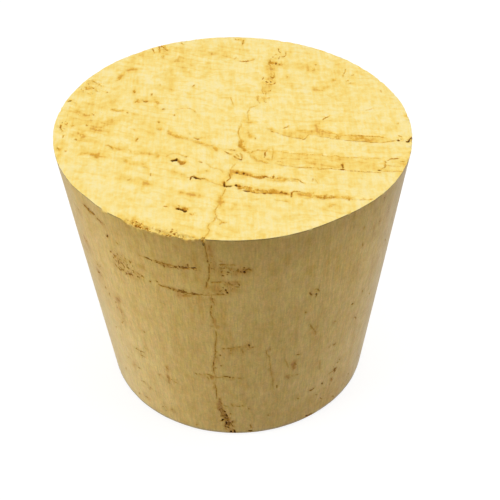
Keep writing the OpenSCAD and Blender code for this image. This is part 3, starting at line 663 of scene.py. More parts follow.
SIDE_PATCHES = [
    # Along the two long ring lines
    Patch(-37.6, 28.7, 5, 0.45, 0.5, 0.85),
    Patch(-23.5, 33, 7.5, 0.36, 0.5, 1),
    Patch(-15, 32.9, 3.6, 0.36, 0.5, 1),
    Patch(-18, 28.75, 9, 0.36, 0.5, 0.95),
    # Under the rim, at the front
    Patch(-2.4, 33.7, 3.4, 0.6, 0.7, 0.7),
    Patch(-1.6, 33, 6, 1.3, 0.5, 0.65),
    Patch(-7.4, 34.4, 2, 2.4, 0.5, 0.7),
    Patch(2.4, 33.1, 2.2, 0.8, 0.6, 0.75),
    Patch(-1.6, 30.6, 3, 0.7, 0.6, 0.6),
    Patch(-4.6, 30, 5, 1.3, 0.45, 0.6),
    Patch(-9.2, 30.4, 0.8, 1, 0.6, 0.3),
    Patch(-7.8, 27.6, 1, 0.9, 0.6, 0.5),
    Patch(-7.4, 23, 1.6, 0.6, 0.4, 0.3),
    Patch(-18.5, 28, 1.6, 0.7, 0.55, 0.2),
    Patch(-15, 28.2, 1.6, 0.4, 0.5, 0.3),
    # The specked patch to the left, and the one above it
    Patch(-38, 30.4, 6, 1.3, 0.3, 0.75),
    Patch(-35.5, 28.9, 4.5, 0.8, 0.4, 0.7),
    Patch(-31, 30.6, 1.6, 0.6, 0.6, 0.3),
    Patch(-50.4, 36.2, 3.4, 0.6, 0.9, 1, angle=-5),
    Patch(-46.2, 35.6, 3.4, 0.5, 0.8, 1, angle=-8),
    Patch(-44.4, 35.5, 1.4, 0.5, 0.5, 0.4),
    Patch(-59.6, 28.4, 2.4, 1.2, 0.6, 0.4, angle=30),
    Patch(-62, 26.4, 2.2, 0.8, 0.5, 0.4, angle=20),
    Patch(-54, 26.2, 2.2, 0.6, 0.45, 0.5),
    Patch(-56, 24.2, 1.8, 0.8, 0.5, 0.6, angle=15),
    Patch(-59, 34.2, 2.4, 1, 0.4, 0.5),
    # The middle of the left half
    Patch(-46, 21.8, 1.8, 1.1, 0.55),
    Patch(-46.6, 19.2, 2.6, 1.8, 0.4, 0.2),
    Patch(-47.6, 17.2, 2, 0.6, 0.4, 0.3, angle=20),
    Patch(-40, 12.9, 3.4, 0.9, 0.4, 0.6),
    Patch(-46, 9.2, 2.4, 0.8, 0.4, 0.4),
    Patch(-43.6, 6.2, 2, 0.5, 0.4, 0.4),
    Patch(-40, 5.4, 1.4, 0.5, 0.4, 0.4),
    Patch(-44, 2.4, 2.4, 0.6, 0.35, 0.4),
    Patch(-28.4, 10, 1.2, 1, 0.7, 0.5),
    Patch(-31, 9.8, 2, 0.7, 0.4, 0.4),
    Patch(-25.5, 9.8, 1.6, 0.5, 0.4, 0.4),
    Patch(-28.4, 12.3, 1.2, 0.8, 0.55, 0.6),
    Patch(-33, 2.8, 2.4, 1.1, 0.4, 0.5),
    Patch(-29.6, 2.8, 1.4, 0.6, 0.5, 0.6),
    # The middle of the front
    Patch(0.4, 18.3, 5, 1, 0.4, 0.4),
    Patch(3.8, 19.2, 0.7, 0.4, 0.5, 0.2),
    Patch(-8.4, 16.6, 1.4, 1.8, 0.4, 0.4),
    Patch(-13.6, 13, 3.4, 0.6, 0.4, 0.3),
    Patch(-10.8, 12.6, 1, 0.6, 0.7, 0.1),
    Patch(-4.6, 12.8, 1.8, 0.6, 0.5, 0.3),
    Patch(-5.2, 10.4, 0.8, 0.8, 0.4, 0.3),
    Patch(-8.9, 10.4, 0.8, 1.4, 0.5, 0.3),
    Patch(-1.2, 6.7, 2.6, 0.5, 0.5, 0.3),
    # The gouge at the foot end of the fissure
    Patch(-7.2, 7.2, 1.4, 1.6, 1, 0.45),
    Patch(-6.5, 4.4, 2, 2.2, 1, 1, angle=10),
    Patch(-5.2, 2.6, 2.4, 1.2, 1, 1),
    Patch(-3.4, 1.2, 1.6, 0.9, 0.8, 0.6),
    Patch(-3.4, 5, 0.8, 0.5, 0.4, 0.4),
    # To the right
    Patch(50.5, 36.8, 0.9, 1, 0.6, 0.8),
    Patch(49.5, 34.6, 0.7, 0.6, 0.6, 0.8),
    Patch(51.5, 33, 0.7, 0.6, 0.6, 0.8),
    Patch(49.6, 31.8, 0.7, 1.2, 0.7, 0.9, angle=20),
    Patch(58, 33.4, 1.2, 1.3, 0.5, 0.7, angle=20),
    Patch(26, 26.8, 1.9, 0.9, 0.45, 0.1),
    Patch(37, 19.2, 0.9, 0.5, 0.5, 0.3),
    Patch(27.4, 19.4, 1.8, 1.3, 0.35, 0.1, angle=-40),
    Patch(20.6, 13.6, 1.2, 1, 0.6, 0.5),
    Patch(21.8, 15.6, 1.4, 0.5, 0.4, 0.5),
    Patch(18.5, 11.5, 1.4, 1, 0.55, 0.1),
    Patch(21.4, 11.4, 2, 0.5, 0.3, 0.5),
    Patch(37.4, 14.1, 2.2, 0.5, 0.35, 0.6),
    Patch(42.2, 8.1, 2.2, 0.7, 0.6, 0.9),
    Patch(43.6, 9.4, 1.2, 0.5, 0.4, 0.6),
    Patch(41, 6.1, 1, 0.6, 0.8, 0.6),
    Patch(39.2, 5.1, 2, 0.4, 0.3, 0.5),
    Patch(30.4, 6.5, 1.4, 0.5, 0.4, 0.4),
    Patch(24, 6.2, 2.4, 0.7, 0.25, 0.4),
    Patch(23, 3, 1, 1.2, 0.3, 0.3),
    Patch(62, 27, 2.6, 2, 0.3, 0.4),
    Patch(56, 24.2, 2, 1, 0.3, 0.3),
    Patch(51, 4.4, 1.2, 1.6, 0.5, 0.3),
    Patch(54.4, 3.2, 1.2, 1, 0.45, 0.5),
    Patch(64, 4.4, 3, 1, 0.4, 0.3),
    # Painted shade low on the right, near the foot, drawn as a wide faint stain
    Patch(44, 2.6, 19, 4, 0.3),
]

# The foot and the back aren't seen, so chance places their marks, of the same kinds.
MARKS_SEED = 11
BACK_MARKS = 46
BACK_AZIMUTHS = (72, 292)
BACK_HEIGHTS = (1.5, 36.5)
BACK_EXIT = 162  # the azimuth at which the fissure comes out again
FOOT_MARKS = 16
FOOT_SPREAD = 16  # how far from the middle the foot's marks lie
FOOT_CROSSING = 17.8  # how far from the middle the fissure starts and ends there
RIGHT_LEAN, LEFT_LEAN = 0.12, 0.36  # how far along Y the growth rings lean for each millimetre of X


def back_marks(rng):
    """Ring cracks, long and short, round the unseen part of the side."""
    cracks, patches = [], []
    for _ in range(BACK_MARKS):
        azimuth, z = rng.uniform(*BACK_AZIMUTHS), rng.uniform(*BACK_HEIGHTS)
        is_long = rng.random() < 0.45
        half = rng.uniform(0.6, 5.5) if is_long else rng.uniform(0.4, 1.2)
        ink = rng.uniform(0.35, 0.75)
        points = [(azimuth + half * s, z + rng.normal(0, 0.15)) for s in (-1, -0.4, 0.3, 1)]
        width, depth = rng.uniform(0.2, 0.32), rng.uniform(0.1, 0.25)
        cracks.append(Crack(width, depth, ink, stain=0.35, fray=0.8, points=points))
        if ink > 0.5:
            stain, half_z = rng.uniform(0.25, 0.5), rng.uniform(0.6, 1.4)
            patches.append(Patch(azimuth, z, half + 1.5, half_z, stain, specks=ink))
    return cracks, patches


def back_fissure(rng):
    """The sheet of pores that makes the fissure comes out again down the back, in pieces."""
    drawn = Crack(width=0.2, depth=0.15, ink=0, stain=0.35, fray=0.6)
    line = [(BACK_EXIT + rng.normal(0, 0.5), z) for z in np.linspace(38.3, 0.2, 13)]
    pieces = [line[i : i + 3] for i in range(0, 12, 2)]
    cracks = [drawn._replace(ink=rng.uniform(0.4, 0.7), points=points) for points in pieces]
    patches = [Patch(*points[1], half_x=1.8, half_y=1.6, stain=0.3, specks=0.5) for points in pieces]
    return cracks, patches


def foot_fissure(rng):
    """The same sheet of pores crosses the foot from front to back, in pieces."""
    drawn = Crack(width=0.22, depth=0.15, ink=0, stain=0.4, fray=0.7)
    line = [(rng.normal(1.2 * s, 0.5), FOOT_CROSSING * s) for s in np.linspace(-1, 1, 13)]
    pieces = [line[i : i + 4] for i in range(0, 12, 3)]
    return [drawn._replace(ink=rng.uniform(0.4, 0.7), points=points) for points in pieces]


def foot_marks(rng):
    """Cracks along the growth rings of the foot, which lean more on its left."""
    cracks, patches = [], []
    for _ in range(FOOT_MARKS):
        radius, turn = FOOT_SPREAD * math.sqrt(rng.random()), rng.uniform(0, 2 * math.pi)
        x, y = radius * math.cos(turn), radius * math.sin(turn)
        half = rng.uniform(0.4, 3)
        slope = RIGHT_LEAN if x > 0 else LEFT_LEAN
        points = [(x + half * s, y - slope * half * s + rng.normal(0, 0.12)) for s in (-1, -0.3, 0.4, 1)]
        ink, width, depth = rng.uniform(0.35, 0.95), rng.uniform(0.2, 0.32), rng.uniform(0.1, 0.3)
        cracks.append(Crack(width, depth, ink, stain=0.5, fray=0.6, points=points))
        patches.append(Patch(x, y, half + 0.5, 0.9, rng.uniform(0.2, 0.6), ink - 0.2, angle=-15))
    return cracks, patches


def chance_marks():
    """The cracks and patches of the back of the side, and then those of the foot."""
    rng = np.random.default_rng(MARKS_SEED)
    back_cracks, back_patches = back_marks(rng)
    down_cracks, down_patches = back_fissure(rng)
    across = foot_fissure(rng)
    foot_cracks, foot_patches = foot_marks(rng)
    return back_cracks + down_cracks, back_patches + down_patches, across + foot_cracks, foot_patches


BACK_CRACKS, BACK_PATCHES, FOOT_CRACKS, FOOT_PATCHES = chance_marks()

# ---------------------------------------------------------------- the blank: a fine closed mesh

CELLS = 66  # across the square grid that makes each end, so a quarter of the cells round the side
ROWS = 58
SAME_PLACE = 0.001  # points closer than this are one


def disc(cells):
    """Points of a unit disc, from a square grid, with its edge points evenly spread round it."""
    line = np.linspace(-1, 1, cells + 1)
    u, v = (a.ravel() for a in np.meshgrid(line, line, indexing="ij"))
    wide = np.abs(u) >= np.abs(v)
    radius = np.where(wide, u, v)
    small = np.where(wide, v, u) / np.where(radius == 0, 1, radius) * math.pi / 4
    turn = np.where(wide, small, math.pi / 2 - small)
    return radius * np.cos(turn), radius * np.sin(turn)


def quads(rows, columns, first, flip=False):
    """The faces of a grid of points, whose numbers start at first."""
    i, j = (a.ravel() for a in np.meshgrid(np.arange(rows), np.arange(columns), indexing="ij"))
    a = first + i * (columns + 1) + j
    faces = np.stack([a, a + columns + 1, a + columns + 2, a + 1], axis=1)
    return faces[:, ::-1] if flip else faces


def rim_radius(turn):
    """The radius of the sliced wide end, which meets the cone lower on +X and higher on -X."""
    radius = np.full_like(turn, TOP_R)
    for _ in range(4):
        radius = side_r(top_z(radius * np.cos(turn)))
    return radius


def blank_mesh():
    """The plain frustum as one closed mesh: two square-grid discs and the side between them."""
    x, y = disc(CELLS)
    turn = np.arctan2(y, x)
    top_x, top_y = x * rim_radius(turn), y * rim_radius(turn)
    top = np.stack([top_x, top_y, top_z(top_x)], axis=1)
    foot = np.stack([x * FLAT_R, y * FLAT_R, np.zeros_like(x)], axis=1)
    around = np.linspace(0, 2 * math.pi, 4 * CELLS + 1) + math.pi / 4
    share = np.linspace(0, 1, ROWS + 1)[:, None]
    rim = rim_radius(around)
    rim_z = top_z(rim * np.cos(around))
    z = EDGE_BREAK + share * (rim_z - EDGE_BREAK)
    radius = side_r(z)
    z = np.vstack([np.zeros_like(around), z])
    radius = np.vstack([np.full_like(around, FLAT_R), radius])
    side = np.stack([radius * np.cos(around), radius * np.sin(around), z], axis=2).reshape(-1, 3)
    points = np.vstack([top, foot, side])
    faces = np.vstack([
        quads(CELLS, CELLS, 0),
        quads(CELLS, CELLS, len(top), flip=True),
        quads(ROWS + 1, 4 * CELLS, len(top) + len(foot), flip=True),
    ])
    bm = bmesh.new()
    corners = [bm.verts.new(p) for p in points]
    for face in faces:
        bm.faces.new([corners[i] for i in face])
    bmesh.ops.remove_doubles(bm, verts=bm.verts, dist=SAME_PLACE)
    return bm


# ---------------------------------------------------------------- marks turned into relief

SOFT = 0.07  # how gently a crack's edge fades
GLOW = 0.12  # how far past that edge its ochre glow reaches
# How a mark's edge wanders: how far, over what length, and what is added to the face's seed
WOBBLES = ((0.6, 1.6, 0), (0.26, 0.5, 5))
TOP_SEED, SIDE_SEED, FOOT_SEED = 40, 140, 240


class Surface:
    """Points on one face of the stopper, laid flat in millimetres, and the marks made there."""

    def __init__(self, flat, seed, units=(1, 1), wraps=0):
        self.flat = flat
        self.units = np.array(units, float)  # millimetres for each unit that a mark is given in
        self.wraps = wraps  # how far round the face meets itself again, or 0
        self.ink, self.stain, self.specks, self.depth = np.zeros((4, len(flat)))
        wave = [
            sum(far * (noise(flat, size, seed + own + axis) - 0.5) for far, size, own in WOBBLES)
            for axis in (0, 1)
        ]
        self.wobble = np.stack(wave, axis=1)
        self.grit = noise(flat, 0.34, seed + 10)
        self.gaps = noise(flat, 1.3, seed + 15, 2)
        self.cloud = noise(flat, 0.8, seed + 20, 3)

    def offsets(self, middle, fray):
        """Each point less middle, made ragged by fray, the short way round on the side."""
        gap = self.flat - middle
        if self.wraps:
            gap[:, 0] = (gap[:, 0] + self.wraps / 2) % self.wraps - self.wraps / 2
        return gap + self.wobble * fray

    def line(self, points, reach, fray):
        """The points within reach of a line: which they are, how far off, and how far along it."""
        points = np.array(points, float) * self.units
        middle = points.mean(axis=0)
        gap = self.offsets(middle, fray)
        span = np.abs(points - middle).max(axis=0) + reach
        near = np.flatnonzero((np.abs(gap) < span).all(axis=1))
        gap = gap[near]
        best = np.full(len(near), 1e9)
        along = np.zeros(len(near))
        lengths = np.hypot(*np.diff(points, axis=0).T)
        done = 0.0
        for a, b, length in zip(points - middle, points[1:] - middle, lengths):
            t = np.clip((gap - a) @ (b - a) / length**2, 0, 1)
            distance = np.hypot(*(gap - a - t[:, None] * (b - a)).T)
            closer = distance < best
            best[closer] = distance[closer]
            along[closer] = (done + t[closer] * length) / lengths.sum()
            done += length
        return near, best, along

    def crack(self, mark):
        """A dark core with an ochre glow, sunk like a bowl, thin at its ends and broken by fray."""
        near, off, along = self.line(mark.points, mark.width + 1, mark.fray)
        if not len(near):
            return
        ends = blend(0.45, 1, np.clip(4 * along * (1 - along), 0, 1) ** 0.3)
        whole = 1 - 0.75 * mark.fray * smooth(self.gaps[near], 0.55, 0.35)
        dotted = 1 - 0.45 * mark.fray * smooth(self.grit[near], 0.5, 0.3)
        half = mark.width / 2 * ends * blend(0.6, 1.4, self.grit[near])
        core = smooth(off - half, SOFT, -SOFT)
        bowl = np.clip(1 - (off / half) ** 2, 0, 1)
        glow = np.exp(-((off / (0.5 * mark.width + GLOW)) ** 2)) * blend(0.5, 1.2, self.cloud[near])
        self.ink[near] = np.maximum(self.ink[near], mark.ink * core * whole * dotted)
        self.depth[near] = np.maximum(self.depth[near], mark.depth * bowl * whole * dotted)
        self.stain[near] = np.maximum(self.stain[near], mark.stain * glow * blend(0.4, 1, whole))

    def streak(self, mark):
        """An ochre glow along a line, faded at its ends."""
        near, off, along = self.line(mark.points, 2 * mark.width, 0.8)
        ends = smooth(np.minimum(along, 1 - along), 0, 0.15)
        glow = np.exp(-((off / mark.width * 1.6) ** 2)) * ends * blend(0.25, 1.35, self.cloud[near])
        self.stain[near] = np.maximum(self.stain[near], mark.stain * glow)

    def patch(self, mark):
        """An oval of cloudy stain, with a soft edge, that specks can show in."""
        middle = np.array([mark.x, mark.y]) * self.units
        half = np.array([mark.half_x, mark.half_y]) * self.units
        turn = math.radians(mark.angle)
        gap = self.offsets(middle, 1)
        along = gap @ (math.cos(turn), math.sin(turn)) / half[0]
        across = gap @ (-math.sin(turn), math.cos(turn)) / half[1]
        inside = smooth(np.hypot(along, across), 1.3, 0.45)
        self.stain = np.maximum(self.stain, mark.stain * inside * blend(0.3, 1.25, self.cloud))
        self.specks = np.maximum(self.specks, mark.specks * inside)

    def band(self, mark):
        """A strip of cloudy stain, sunk a little below the face."""
        x, y = (self.flat + self.wobble * 0.3).T
        upper, lower = np.array(mark.upper), np.array(mark.lower)
        ends = smooth(x, upper[0, 0], upper[0, 0] + 0.5) * smooth(x, upper[-1, 0] + 0.3, upper[-1, 0])
        over = np.interp(x, *upper.T) - y
        under = y - np.interp(x, *lower.T)
        inside = smooth(np.minimum(over, under), -0.08, 0.08) * ends
        self.stain = np.maximum(self.stain, mark.stain * inside * blend(0.5, 1.2, self.cloud))
        self.depth = np.maximum(self.depth, mark.sink * inside)

    def draw(self, cracks, patches, streaks=(), bands=()):
        """Makes every mark in the lists."""
        for mark in bands:
            self.band(mark)
        for mark in patches:
            self.patch(mark)
        for mark in streaks:
            self.streak(mark)
        for mark in cracks:
            self.crack(mark)

    def near(self, cracks, reach):
        """Which points lie within reach of the edge of a crack."""
        found = np.zeros(len(self.flat), bool)
        for mark in cracks:
            near, off, _ = self.line(mark.points, mark.width + reach, mark.fray)
            found[near[off < reach + mark.width / 2]] = True
        return found


ON_FLAT = 0.002  # how near a flat end a point counts as on it
ON_CONE = 0.02  # and how near the side


def on_faces(points):
    """Which points lie on the wide end, the side and the foot. Rim points lie on two of them."""
    radius = np.hypot(points[:, 0], points[:, 1])
    top = points[:, 2] > top_z(points[:, 0]) - ON_FLAT
    foot = points[:, 2] < ON_FLAT
    side = radius > side_r(points[:, 2]) - ON_CONE
    return top, side & ~foot, foot


def azimuth_of(points):
    """Degrees round from the front, from -180 to 180."""
    return np.degrees(np.arctan2(points[:, 0], -points[:, 1]))


def surfaces(points):
    """The wide end, the side and the foot: which points lie on each, and the face laid flat."""
    top, side, foot = on_faces(points)
    laid = np.stack([azimuth_of(points) * ARC, points[:, 2]], axis=1)
    return [
        (top, Surface(points[top, :2], TOP_SEED)),
        (side, Surface(laid[side], SIDE_SEED, units=(ARC, 1), wraps=360 * ARC)),
        (foot, Surface(points[foot, :2], FOOT_SEED)),
    ]


# ---------------------------------------------------------------- the rim of the wide end

CHIPS = [  # azimuth, half the length and the depth
    (-145, 1.2, 0.3), (-112, 0.8, 0.25), (-100, 0.5, 0.3), (-75, 1, 0.2), (-60, 0.6, 0.15),
    (-41.4, 0.8, 0.35), (-31, 0.9, 0.35), (-27.5, 0.8, 0.3), (-23.5, 1, 0.4), (-19, 0.8, 0.3),
    (-15.5, 0.7, 0.3), (-12.5, 0.5, 0.3), (-9.4, 0.3, 0.6), (4, 0.5, 0.1), (14, 0.8, 0.12),
    (22, 0.5, 0.15), (30, 0.7, 0.12), (36, 0.4, 0.2), (50, 0.8, 0.15), (70, 0.6, 0.25),
    (74, 0.4, 0.3), (81, 0.5, 0.75), (95, 0.4, 0.3), (118, 0.7, 0.25), (140, 0.9, 0.2),
    (161, 0.6, 0.3), (-165, 0.8, 0.2),
]
RAGGED = (0.02, 0.1)  # how deep the rim is worn off everywhere, at least and at most
CRUMBLED = (-37, -9)  # the stretch of azimuths that is crumbled all along
CRUMBLED_WEAR = (0.3, 0.8)  # how deep it is worn there
CRUMB_SIZE, CRUMB_DEPTH = 0.2, 0.24
FLATS = ((33, 24, 0.36), (-50, 8, 0.15))  # where it is out of round: azimuth, half width and depth


def crumbled(azimuth):
    """1 along the crumbled stretch of the rim, and 0 elsewhere."""
    start, end = CRUMBLED
    return smooth(azimuth, start, start + 6) * smooth(azimuth, end, end - 4)


def rim_wear(azimuth):
    """How far the rim is worn off at each azimuth: a thin ragged line everywhere, and the chips."""
    turn = np.radians(azimuth)
    ring = np.stack([np.cos(turn), np.sin(turn)], axis=1) * TOP_R
    rough = noise(ring, size=0.5, seed=300, octaves=2)
    worn = blend(*RAGGED, smooth(rough, 0.3, 1))
    for middle, half, depth in CHIPS:
        gap = np.abs((azimuth - middle + 180) % 360 - 180) * math.pi / 180 * TOP_R
        worn = np.maximum(worn, depth * smooth(gap, half, 0.3 * half) * blend(0.6, 1.2, rough))
    lumps = noise(ring, size=0.8, seed=310, octaves=2)
    return np.maximum(worn, crumbled(azimuth) * blend(*CRUMBLED_WEAR, lumps))


def wear_rim(points, moved, looks, top, side):
    """Takes the rim off to an even slant, as deep as it is worn at each azimuth."""
    azimuth = azimuth_of(points)
    worn = rim_wear(azimuth)
    rim = rim_radius(np.arctan2(points[:, 1], points[:, 0]))
    radius = np.hypot(points[:, 0], points[:, 1])
    from_rim = np.where(top, rim - radius, top_z(points[:, 0]) - points[:, 2])
    near = (top | side) & (from_rim < worn)
    crumbs = CRUMB_DEPTH * crumbled(azimuth) * noise(points, CRUMB_SIZE, seed=320, octaves=2)
    cut = np.where(near, (worn - from_rim) / 2 + crumbs * smooth(worn - from_rim, 0, 0.1), 0)
    moved[:, 2] -= np.where(top, cut, 0)
    moved[:, :2] *= (1 - np.where(side, cut, 0) / np.maximum(radius, 1))[:, None]
    fresh = smooth(worn, 0.1, 0.3) * smooth(from_rim, 2 * worn + 0.3, 0)
    looks["stain"] = np.maximum(looks["stain"], 0.5 * fresh)
    looks["specks"] = np.maximum(looks["specks"], 0.5 * fresh * crumbled(azimuth))
    looks["fresh"] = np.where(side, smooth(worn, 0.06, 0.2) * smooth(from_rim - worn, 0.05, -0.05), 0)


def flattened(points):
    """How far each point lies inside the cone, where the wide end is out of round."""
    azimuth = azimuth_of(points)
    depth = sum(most * smooth(np.abs(azimuth - middle), half, 0) for middle, half, most in FLATS)
    radius = np.hypot(points[:, 0], points[:, 1])
    return depth * smooth(points[:, 2], 0.6 * HEIGHT, HEIGHT) * smooth(radius / TOP_R, 0.7, 0.95)


# ---------------------------------------------------------------- the piece

# Each halving of the cells: how far from a crack it reaches, and whether only on what is seen
REFINEMENTS = ((0.4, False), (0.2, False), (0.08, True))
TOP_SWELL = 0.03  # how deep the wide end's slight unevenness is
# The side's: how deep, over what length, its squeeze along Z, and its seed
SIDE_SWELLS = ((0.05, 5, 0.25, 190), (0.02, 1, 0.15, 195))
SHARP_ANGLE = 50  # edges that bend by more degrees than this aren't shaded smooth


def carve(points):
    """Works out the marks at each point: the moved points, and their ink, stain and specks."""
    faces = surfaces(points)
    (top, on_top), (side, on_side), (foot, on_foot) = faces
    on_top.draw(TOP_CRACKS, TOP_PATCHES, TOP_STREAKS, TOP_BANDS)
    on_side.draw(SIDE_CRACKS + BACK_CRACKS, SIDE_PATCHES + BACK_PATCHES, SIDE_STREAKS)
    on_foot.draw(FOOT_CRACKS, FOOT_PATCHES)

    moved = points.copy()
    moved[top, 2] -= on_top.depth + TOP_SWELL * noise(points[top, :2], size=2.5, seed=90, octaves=3)
    swell = sum(
        deep * noise(points[side] * (1, 1, upright), size, seed, octaves=2)
        for deep, size, upright, seed in SIDE_SWELLS
    )
    radius = np.hypot(points[side, 0], points[side, 1])
    moved[side, :2] *= ((radius - on_side.depth - swell) / radius)[:, None]
    moved[foot, 2] += on_foot.depth

    looks = {name: np.zeros(len(points)) for name in ("ink", "stain", "specks")}
    for mask, surface in faces:
        for name, values in looks.items():
            values[mask] = np.maximum(values[mask], getattr(surface, name))
    wear_rim(points, moved, looks, top, side)
    radius = np.maximum(np.hypot(points[:, 0], points[:, 1]), 1)
    moved[:, :2] *= (1 - flattened(points) / radius)[:, None]
    return moved, looks


def to_refine(points, reach, seen_only):
    """Which points lie near a crack or the worn rim. The foot and the back can be left out."""
    (top, on_top), (side, on_side), (foot, on_foot) = surfaces(points)
    found = np.zeros(len(points), bool)
    found[top] |= on_top.near(TOP_CRACKS, reach)
    found[side] |= on_side.near(SIDE_CRACKS, reach)
    if not seen_only:
        found[side] |= on_side.near(BACK_CRACKS, reach)
        found[foot] |= on_foot.near(FOOT_CRACKS, reach)
    rim = rim_radius(np.arctan2(points[:, 1], points[:, 0]))
    from_rim = np.hypot(rim - np.hypot(points[:, 0], points[:, 1]), top_z(points[:, 0]) - points[:, 2])
    return found | (from_rim < reach / 2 + rim_wear(azimuth_of(points)))


def refine(bm, reach, seen_only):
    """Halves the cells within reach of a crack."""
    middles = np.array([f.calc_center_median() for f in bm.faces])
    near = to_refine(middles, reach, seen_only)
    edges = dict.fromkeys(e for face, is_near in zip(bm.faces, near) if is_near for e in face.edges)
    bmesh.ops.subdivide_edges(bm, edges=list(edges), cuts=1, use_grid_fill=True, use_single_edge=True)


def column(items, name, kind, width=1):
    """One value, or width values, of each item of a mesh."""
    values = np.empty(len(items) * width, kind)
    items.foreach_get(name, values)
    return values


MAP_GAP = 1.5  # between the parts of the map
MAP_STRETCH = 1.05  # the side is laid this much wider than it is halfway up
STRIPS = 3  # upright strips of the side, laid one above another
STRIP_TURN = 360 // STRIPS
STRIP_W = 1.12 * STRIP_TURN * ARC  # with room for faces that reach past the strip's edge
STRIP_H = HEIGHT + 1.5
END_MARGIN = 1


def bake_map(mesh, points, top, foot):
    """Lays the side in strips with the two ends beside them, and finds the faces of those ends."""
    corner = column(mesh.loops, "vertex_index", np.int32)
    sizes = column(mesh.polygons, "loop_total", np.int32)
    owner = np.repeat(np.arange(len(sizes)), sizes)
    middles = np.stack([np.bincount(owner, points[corner, k]) / sizes for k in range(3)], axis=1)
    on_top = np.bincount(owner, top[corner]) == sizes
    on_foot = np.bincount(owner, foot[corner]) == sizes
    turn = azimuth_of(middles)
    strip = np.clip(((turn + 180) // STRIP_TURN).astype(int), 0, STRIPS - 1)
    start = strip * STRIP_TURN - 180
    own = azimuth_of(points)[corner]
    own = turn[owner] + (own - turn[owner] + 180) % 360 - 180
    u = (own - start[owner]) * ARC * MAP_STRETCH + MAP_GAP
    v = points[corner, 2] + strip[owner] * (STRIP_H + MAP_GAP) + MAP_GAP
    for mask, radius, low in ((on_top, TOP_R, 0), (on_foot, FOOT_R, 2 * TOP_R + 2 * MAP_GAP)):
        here = mask[owner]
        u[here] = STRIP_W + MAP_GAP + TOP_R + END_MARGIN + points[corner[here], 0]
        v[here] = low + MAP_GAP + radius + END_MARGIN + points[corner[here], 1]
    places = np.stack([u, v], axis=1) / (STRIPS * (STRIP_H + MAP_GAP) + MAP_GAP)
    layer = mesh.uv_layers.new(name="OFBake")
    layer.data.foreach_set("uv", places.astype(np.float32).ravel())
    return on_top | on_foot


def cork_piece():
    """The whole stopper, with its marks carved in and kept as attributes for the material."""
    bm = blank_mesh()
    for reach, seen_only in REFINEMENTS:
        refine(bm, reach, seen_only)
    bmesh.ops.recalc_face_normals(bm, faces=bm.faces)
    mesh = bpy.data.meshes.new("cork_bark")
    bm.to_mesh(mesh)
    bm.free()
    plain = column(mesh.vertices, "co", float, 3).reshape(-1, 3)
    top, _, foot = on_faces(plain)
    sliced = bake_map(mesh, plain, top, foot)
    moved, looks = carve(plain)
    mesh.vertices.foreach_set("co", (moved * MM).ravel())
    for name, values in looks.items():
        mesh.attributes.new(name, "FLOAT", "POINT").data.foreach_set("value", values.astype(np.float32))
    mesh.attributes.new("sliced", "FLOAT", "FACE").data.foreach_set("value", sliced.astype(np.float32))
    mesh.shade_smooth()
    mesh.set_sharp_from_angle(angle=math.radians(SHARP_ANGLE))
    mesh.update()
    piece = bpy.data.objects.new("cork_bark", mesh)
    bpy.context.collection.objects.link(piece)
    print("cork_bark: triangles", sum(len(p.vertices) - 2 for p in mesh.polygons))
    return piece


# ---------------------------------------------------------------- nodes


class Nodes:
    """Short ways to add nodes to a tree. All but node return the socket that holds the result."""

    def __init__(self, tree):
        self.tree = tree
        self.tree.nodes.clear()

    def node(self, kind, inputs=(), **settings):
        """Adds a node. An input is a socket to link, or a value."""
        node = self.tree.nodes.new(kind)
        count = len(self.tree.nodes) - 1
        node.location = (count % 12 * 200, -(count // 12) * 260)
        for key, value in settings.items():
            setattr(node, key, value)
        for key, value in dict(inputs).items():
            if isinstance(value, bpy.types.NodeSocket):
                self.tree.links.new(value, node.inputs[key])
            else:
                node.inputs[key].default_value = value
        return node

    def math(self, operation, a, b=0.0, clamp=False):
        return self.node("ShaderNodeMath", {0: a, 1: b}, operation=operation, use_clamp=clamp).outputs[0]

    def sum(self, *terms, offset=0.0):
        """Adds up each term's value times its factor, and the offset."""
        total = offset
        for value, factor in terms:
            inputs = {0: value, 1: float(factor), 2: total}
            total = self.node("ShaderNodeMath", inputs, operation="MULTIPLY_ADD").outputs[0]
        return total

    def vector(self, operation, inputs):
        return self.node("ShaderNodeVectorMath", inputs, operation=operation).outputs[0]

    def scaled(self, colour, factor):
        return self.vector("SCALE", {0: colour, 3: factor})

    def times(self, vector, factors):
        return self.vector("MULTIPLY", {0: vector, 1: factors})

    def mix(self, share, a, b):
        return self.node("ShaderNodeMix", {0: share, 6: a, 7: b}, data_type="RGBA").outputs[2]

    def colours(self, value, stops):
        """A colour for each value from 0 to 1, from a list of places and colours."""
        node = self.node("ShaderNodeValToRGB", {0: value})
        places = node.color_ramp.elements
        while len(places) < len(stops):
            places.new(0.5)
        for place, (position, colour) in zip(places, stops):
            place.position = position
            place.color = colour
        return node.outputs[0]

    def ramp(self, value, low, high, start=0.0, end=1.0):
        """start up to low, end from high on, and a smooth curve between."""
        inputs = {"Value": value, "From Min": low, "From Max": high, "To Min": start, "To Max": end}
        return self.node("ShaderNodeMapRange", inputs, interpolation_type="SMOOTHSTEP").outputs[0]

    def noise(self, vector, scale, detail=2.0, roughness=0.5, distortion=0.0):
        inputs = {"Vector": vector, "Scale": scale, "Detail": detail, "Roughness": roughness}
        inputs["Distortion"] = distortion
        return self.node("ShaderNodeTexNoise", inputs).outputs[0]

    def attribute(self, name):
        return self.node("ShaderNodeAttribute", attribute_name=name).outputs["Fac"]

    def is_seen(self):
        """1 for rays from the camera, a mirror or glass, and 0 for those that only bring light."""
        rays = self.node("ShaderNodeLightPath").outputs
        seen = self.math("MAXIMUM", rays["Is Camera Ray"], rays["Is Glossy Ray"])
        return self.math("MAXIMUM", seen, rays["Is Transmission Ray"])


def srgb(red, green, blue):
    """A colour as a screen shows it, from 0 to 255, as the shader wants it."""
    parts = [c / 255 for c in (red, green, blue)]
    return (*[c / 12.92 if c <= 0.04045 else ((c + 0.055) / 1.055) ** 2.4 for c in parts], 1)


